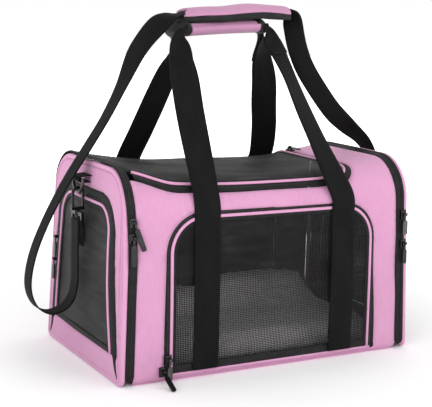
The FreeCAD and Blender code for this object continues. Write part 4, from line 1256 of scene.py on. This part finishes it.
RIGHT_RUN = [(0.0, 468.2, ACROSS), (45.0, 467.2, ACROSS), (64.0, 466.3, ACROSS), (79.0, 464.9, ACROSS),
             (88.0, 457.0, (-0.3, 0.9, -0.1)), (92.0, 440.0, (-0.7, 0.5, -0.2)), (100.0, 416.0, (-0.8, 0.4, -0.35)),
             (113.5, 390.0, (-0.8, 0.38, -0.42)), (136.0, 360.0, (-0.78, 0.36, -0.5)),
             (164.0, 328.0, (-0.75, 0.36, -0.55)), (193.0, 304.0, (-0.6, 0.68, -0.38)),
             (223.0, 281.0, (-0.3, 1, -0.2)), (242.0, 253.0, ACROSS), (248.0, 226.0, ACROSS),
             (249.0, 200.0, ACROSS), (249.0, 172.0, ACROSS), (246.5, 158.5, ACROSS), (240.0, 156.0, ACROSS),
             (235.0, 166.0, ACROSS)]


def belt_rows():
    out = []
    for x, z, wide in LEFT_RUN + RIGHT_RUN:
        x, z = x / 1000, z / 1000
        width = BELT + (BELT_RUN - BELT) * float(np.clip((z - 0.215) / 0.06, 0, 1))
        out.append(((x, 0, z + tilt(x) * float(smooth((z - 0.40) / 0.05))), wide, width))
    return out


belt = eye_turn(-1) + belt_rows() + eye_turn(1)[::-1]
piece("shoulder_webbing", [band(belt, 0.0015)], WEBBING, "shoulder_strap", "black_webbing", "strap_webbing")
for side in (-1, 1):
    for dz in (0.0, 0.0035, 0.012, 0.0155):
        x = side * 0.2262
        pts = np.array([(x + side * 0.00005, y, 0.160 + dz) for y in (-0.0105, 0.0105)])
        threads += [("shoulder_strap", c) for c in stitches(pts, (-side, 0, 0), 0.003, 0.0021, 0.0003)]

# ------------------------------------------------------------------ ring tabs
tab_chunks = []
for side in (-1, 1):
    rows = [((side * 0.2150, 0, 0.2508), ACROSS, 0.026), ((side * 0.2215, 0, 0.2506), ACROSS, 0.026)]
    rows += [((side * x, 0, z), ACROSS, 0.026) for x, z in arc(0.230, 0.246, 0.0038, QUARTER, -math.pi, 8)]
    rows += [((side * 0.2215, 0, 0.2424), ACROSS, 0.026), ((side * 0.2150, 0, 0.2420), ACROSS, 0.026)]
    tab_chunks.append(band(rows, 0.0012, 5))
piece("ring_tab_webbing", tab_chunks, WEBBING, "shell", "black_webbing", "ring_tabs")
for side in (-1, 1):
    for dy in (-0.0105, 0.0105):
        pts = np.array([(side * (0.2165 + 0.0045 * t), dy, 0.2514) for t in np.linspace(0, 1, 3)])
        threads += [("shell", c) for c in stitches(pts, (0, 0, 1), 0.0028, 0.002, 0.0003)]

# ------------------------------------------------------------------ stitching, one piece for each body
for body, word in (("shell", "shell"), ("front_door", "front_door"), ("shoulder_strap", "strap")):
    piece("stitching_" + word, [c for b, c in threads if b == body], THREAD, body, "black_webbing")
piece("stitching_end_panels", pink_threads, PINK_THREAD, "shell", "pink_fabric")

# ------------------------------------------------------------------ fleece bed
def bed_height(x, y):
    ends = smooth((x + 0.128) / 0.05) * smooth((0.186 - x) / 0.04)
    step_x = ends * (0.62 + 0.38 * smooth((x + 0.01) / 0.05))
    ridge = smooth((y - 0.012) / 0.042)
    fall = 1 - 0.30 * smooth((y - 0.075) / 0.03)
    lumps = 0.0012 * np.sin(x * 46 + 1) * np.sin(y * 60)
    return 0.0345 + 0.0385 * step_x * ridge * fall + lumps


def bed():
    """A flat-bottomed slab of fleece with rounded edges and a rough pile."""
    nx, ny, half_x, half_y = 110, 64, 0.1955, 0.1055
    X, Y = np.meshgrid(np.sin(np.linspace(-1, 1, nx) * QUARTER) * half_x,
                       np.sin(np.linspace(-1, 1, ny) * QUARTER) * half_y, indexing="ij")
    edge = np.minimum(half_x - np.abs(X), half_y - np.abs(Y))
    r = 0.013
    round_down = (1 - np.sqrt(1 - (1 - np.clip(edge / r, 0, 1)) ** 2)) * r
    pile = rng.normal(0, 1, X.shape)
    for _ in range(2):
        pile = (pile + np.roll(pile, 1, 0) + np.roll(pile, -1, 0)
                + np.roll(pile, 1, 1) + np.roll(pile, -1, 1)) / 5
    Z = bed_height(X, Y) - round_down + pile * 0.0011 * np.clip(edge / 0.01, 0, 1)
    top = np.stack([X, Y, Z], -1).reshape(-1, 3)
    low = np.stack([X, Y, 0.0086 + round_down * 0.3], -1).reshape(-1, 3)
    return new_object("fleece_bed", np.vstack([top, low]), slab_faces(nx, ny), FLEECE)


bed_ob = plump(bed(), 0.0050, 0.0060, 0.0016)
put(bed_ob, "bed", "fleece", "bed_pad")


# ------------------------------------------------------------------ hard parts keep their CAD shapes
def dress(node, material):
    ob = bpy.data.objects[node]
    if not ob.material_slots:
        ob.data.materials.append(material)
    for slot in ob.material_slots:
        slot.material = material


dress("base_board", BOARD)
for word in ("left", "right"):
    dress(word + "_ring", METAL)
    for part in ("_hook", "_gate", "_swivel_eye"):
        dress(word + part, DARK_METAL)
dress("strap_adjuster", PLASTIC)
END_ZIPS = [side + zipper for side in ("left_", "right_")
            for zipper in ("rim_upper", "rim_lower", "door_upper", "door_lower")]
for name in ["front_upper", "front_foot", "top"] + END_ZIPS:
    dress(name + "_slider", DARK_METAL)
    dress(name + "_pull", METAL if name in ("front_upper", "right_rim_upper") else DARK_METAL)

# the top door's slider sits on the sagging cloth, lower than on the flat CAD panel
drop = BODY_H - float(skin(TOP_X1 - 0.0052, float(v_of_y(0.062)))[2])
for node in ("top_slider", "top_pull"):
    me = bpy.data.objects[node].data.copy()
    me.transform(Matrix.Translation((0, 0, -drop)))
    me.materials.clear()
    me.materials.append(DARK_METAL)
    low = bpy.data.objects.new("seated_" + node, me)
    bpy.context.scene.collection.objects.link(low)
    put(low, node, "gunmetal", node)

# ------------------------------------------------------------------ floor, light and camera
bpy.ops.mesh.primitive_plane_add(size=16, location=(0, 0, -0.0002))
floor = bpy.context.object
floor.name = "floor"
fm = Nodes("pale_floor")
where = fm.coords("Object")
soft = fm.noise(where, 3.0, 2.0)
fm.shade(fm.ramp(soft, (0.3, (0.90, 0.90, 0.905)), (0.7, 0.92)), 0.85, specular=0.1)
fx, fy, _ = fm.xyz(where)
far = fm.math("SQRT", fm.math("ADD", fm.math("MULTIPLY", fx, fx), fm.math("MULTIPLY", fy, fy)))
glow = fm.math("MINIMUM", fm.math("MAXIMUM", fm.math("MULTIPLY_ADD", far, 1.6, -0.72), 0.0), 1.0)
fm.link(glow, fm.bsdf.inputs["Emission Strength"])
fm.bsdf.inputs["Emission Color"].default_value = (1, 1, 1, 1)
floor.data.materials.append(fm.m)

bpy.context.scene.view_settings.view_transform = "Standard"
world = bpy.data.worlds.new("studio")
bpy.context.scene.world = world
world.use_nodes = True
world.node_tree.nodes["Background"].inputs[0].default_value = (1, 1, 1, 1)
world.node_tree.nodes["Background"].inputs[1].default_value = 1.0


def area_light(name, loc, target, size, power):
    data = bpy.data.lights.new(name, "AREA")
    data.shape = "RECTANGLE"
    data.size, data.size_y = size
    data.energy = power
    ob = bpy.data.objects.new(name, data)
    ob.location = loc
    ob.rotation_euler = (Vector(target) - Vector(loc)).to_track_quat("-Z", "Y").to_euler()
    bpy.context.scene.collection.objects.link(ob)


area_light("key", (-2.1, -1.7, 1.3), (0, 0, 0.15), (1.5, 1.3), 25)
area_light("fill", (1.2, -2.5, 0.9), (0, 0, 0.15), (1.8, 1.2), 19)
area_light("top", (0.1, 0.3, 2.6), (0, 0, 0.2), (2.2, 2.2), 6)

cam = bpy.data.cameras.new("camera")
cam_ob = bpy.data.objects.new("camera", cam)
bpy.context.scene.collection.objects.link(cam_ob)
right = Vector((0.87479, -0.48347, 0.03157))
up = Vector((0.05054, 0.15586, 0.98649))
ahead = Vector((0.48185, 0.86138, -0.16078))
turn = Matrix((right, up, -ahead)).transposed()
cam_ob.matrix_world = Matrix.Translation((-0.7801, -1.3540, 0.4744)) @ turn.to_4x4()
cam.sensor_width = 36.0
cam.lens = 94.2
cam.shift_x = -0.0026
cam.shift_y = -0.0345
cam.clip_start, cam.clip_end = 0.05, 30.0
bpy.context.scene.camera = cam_ob
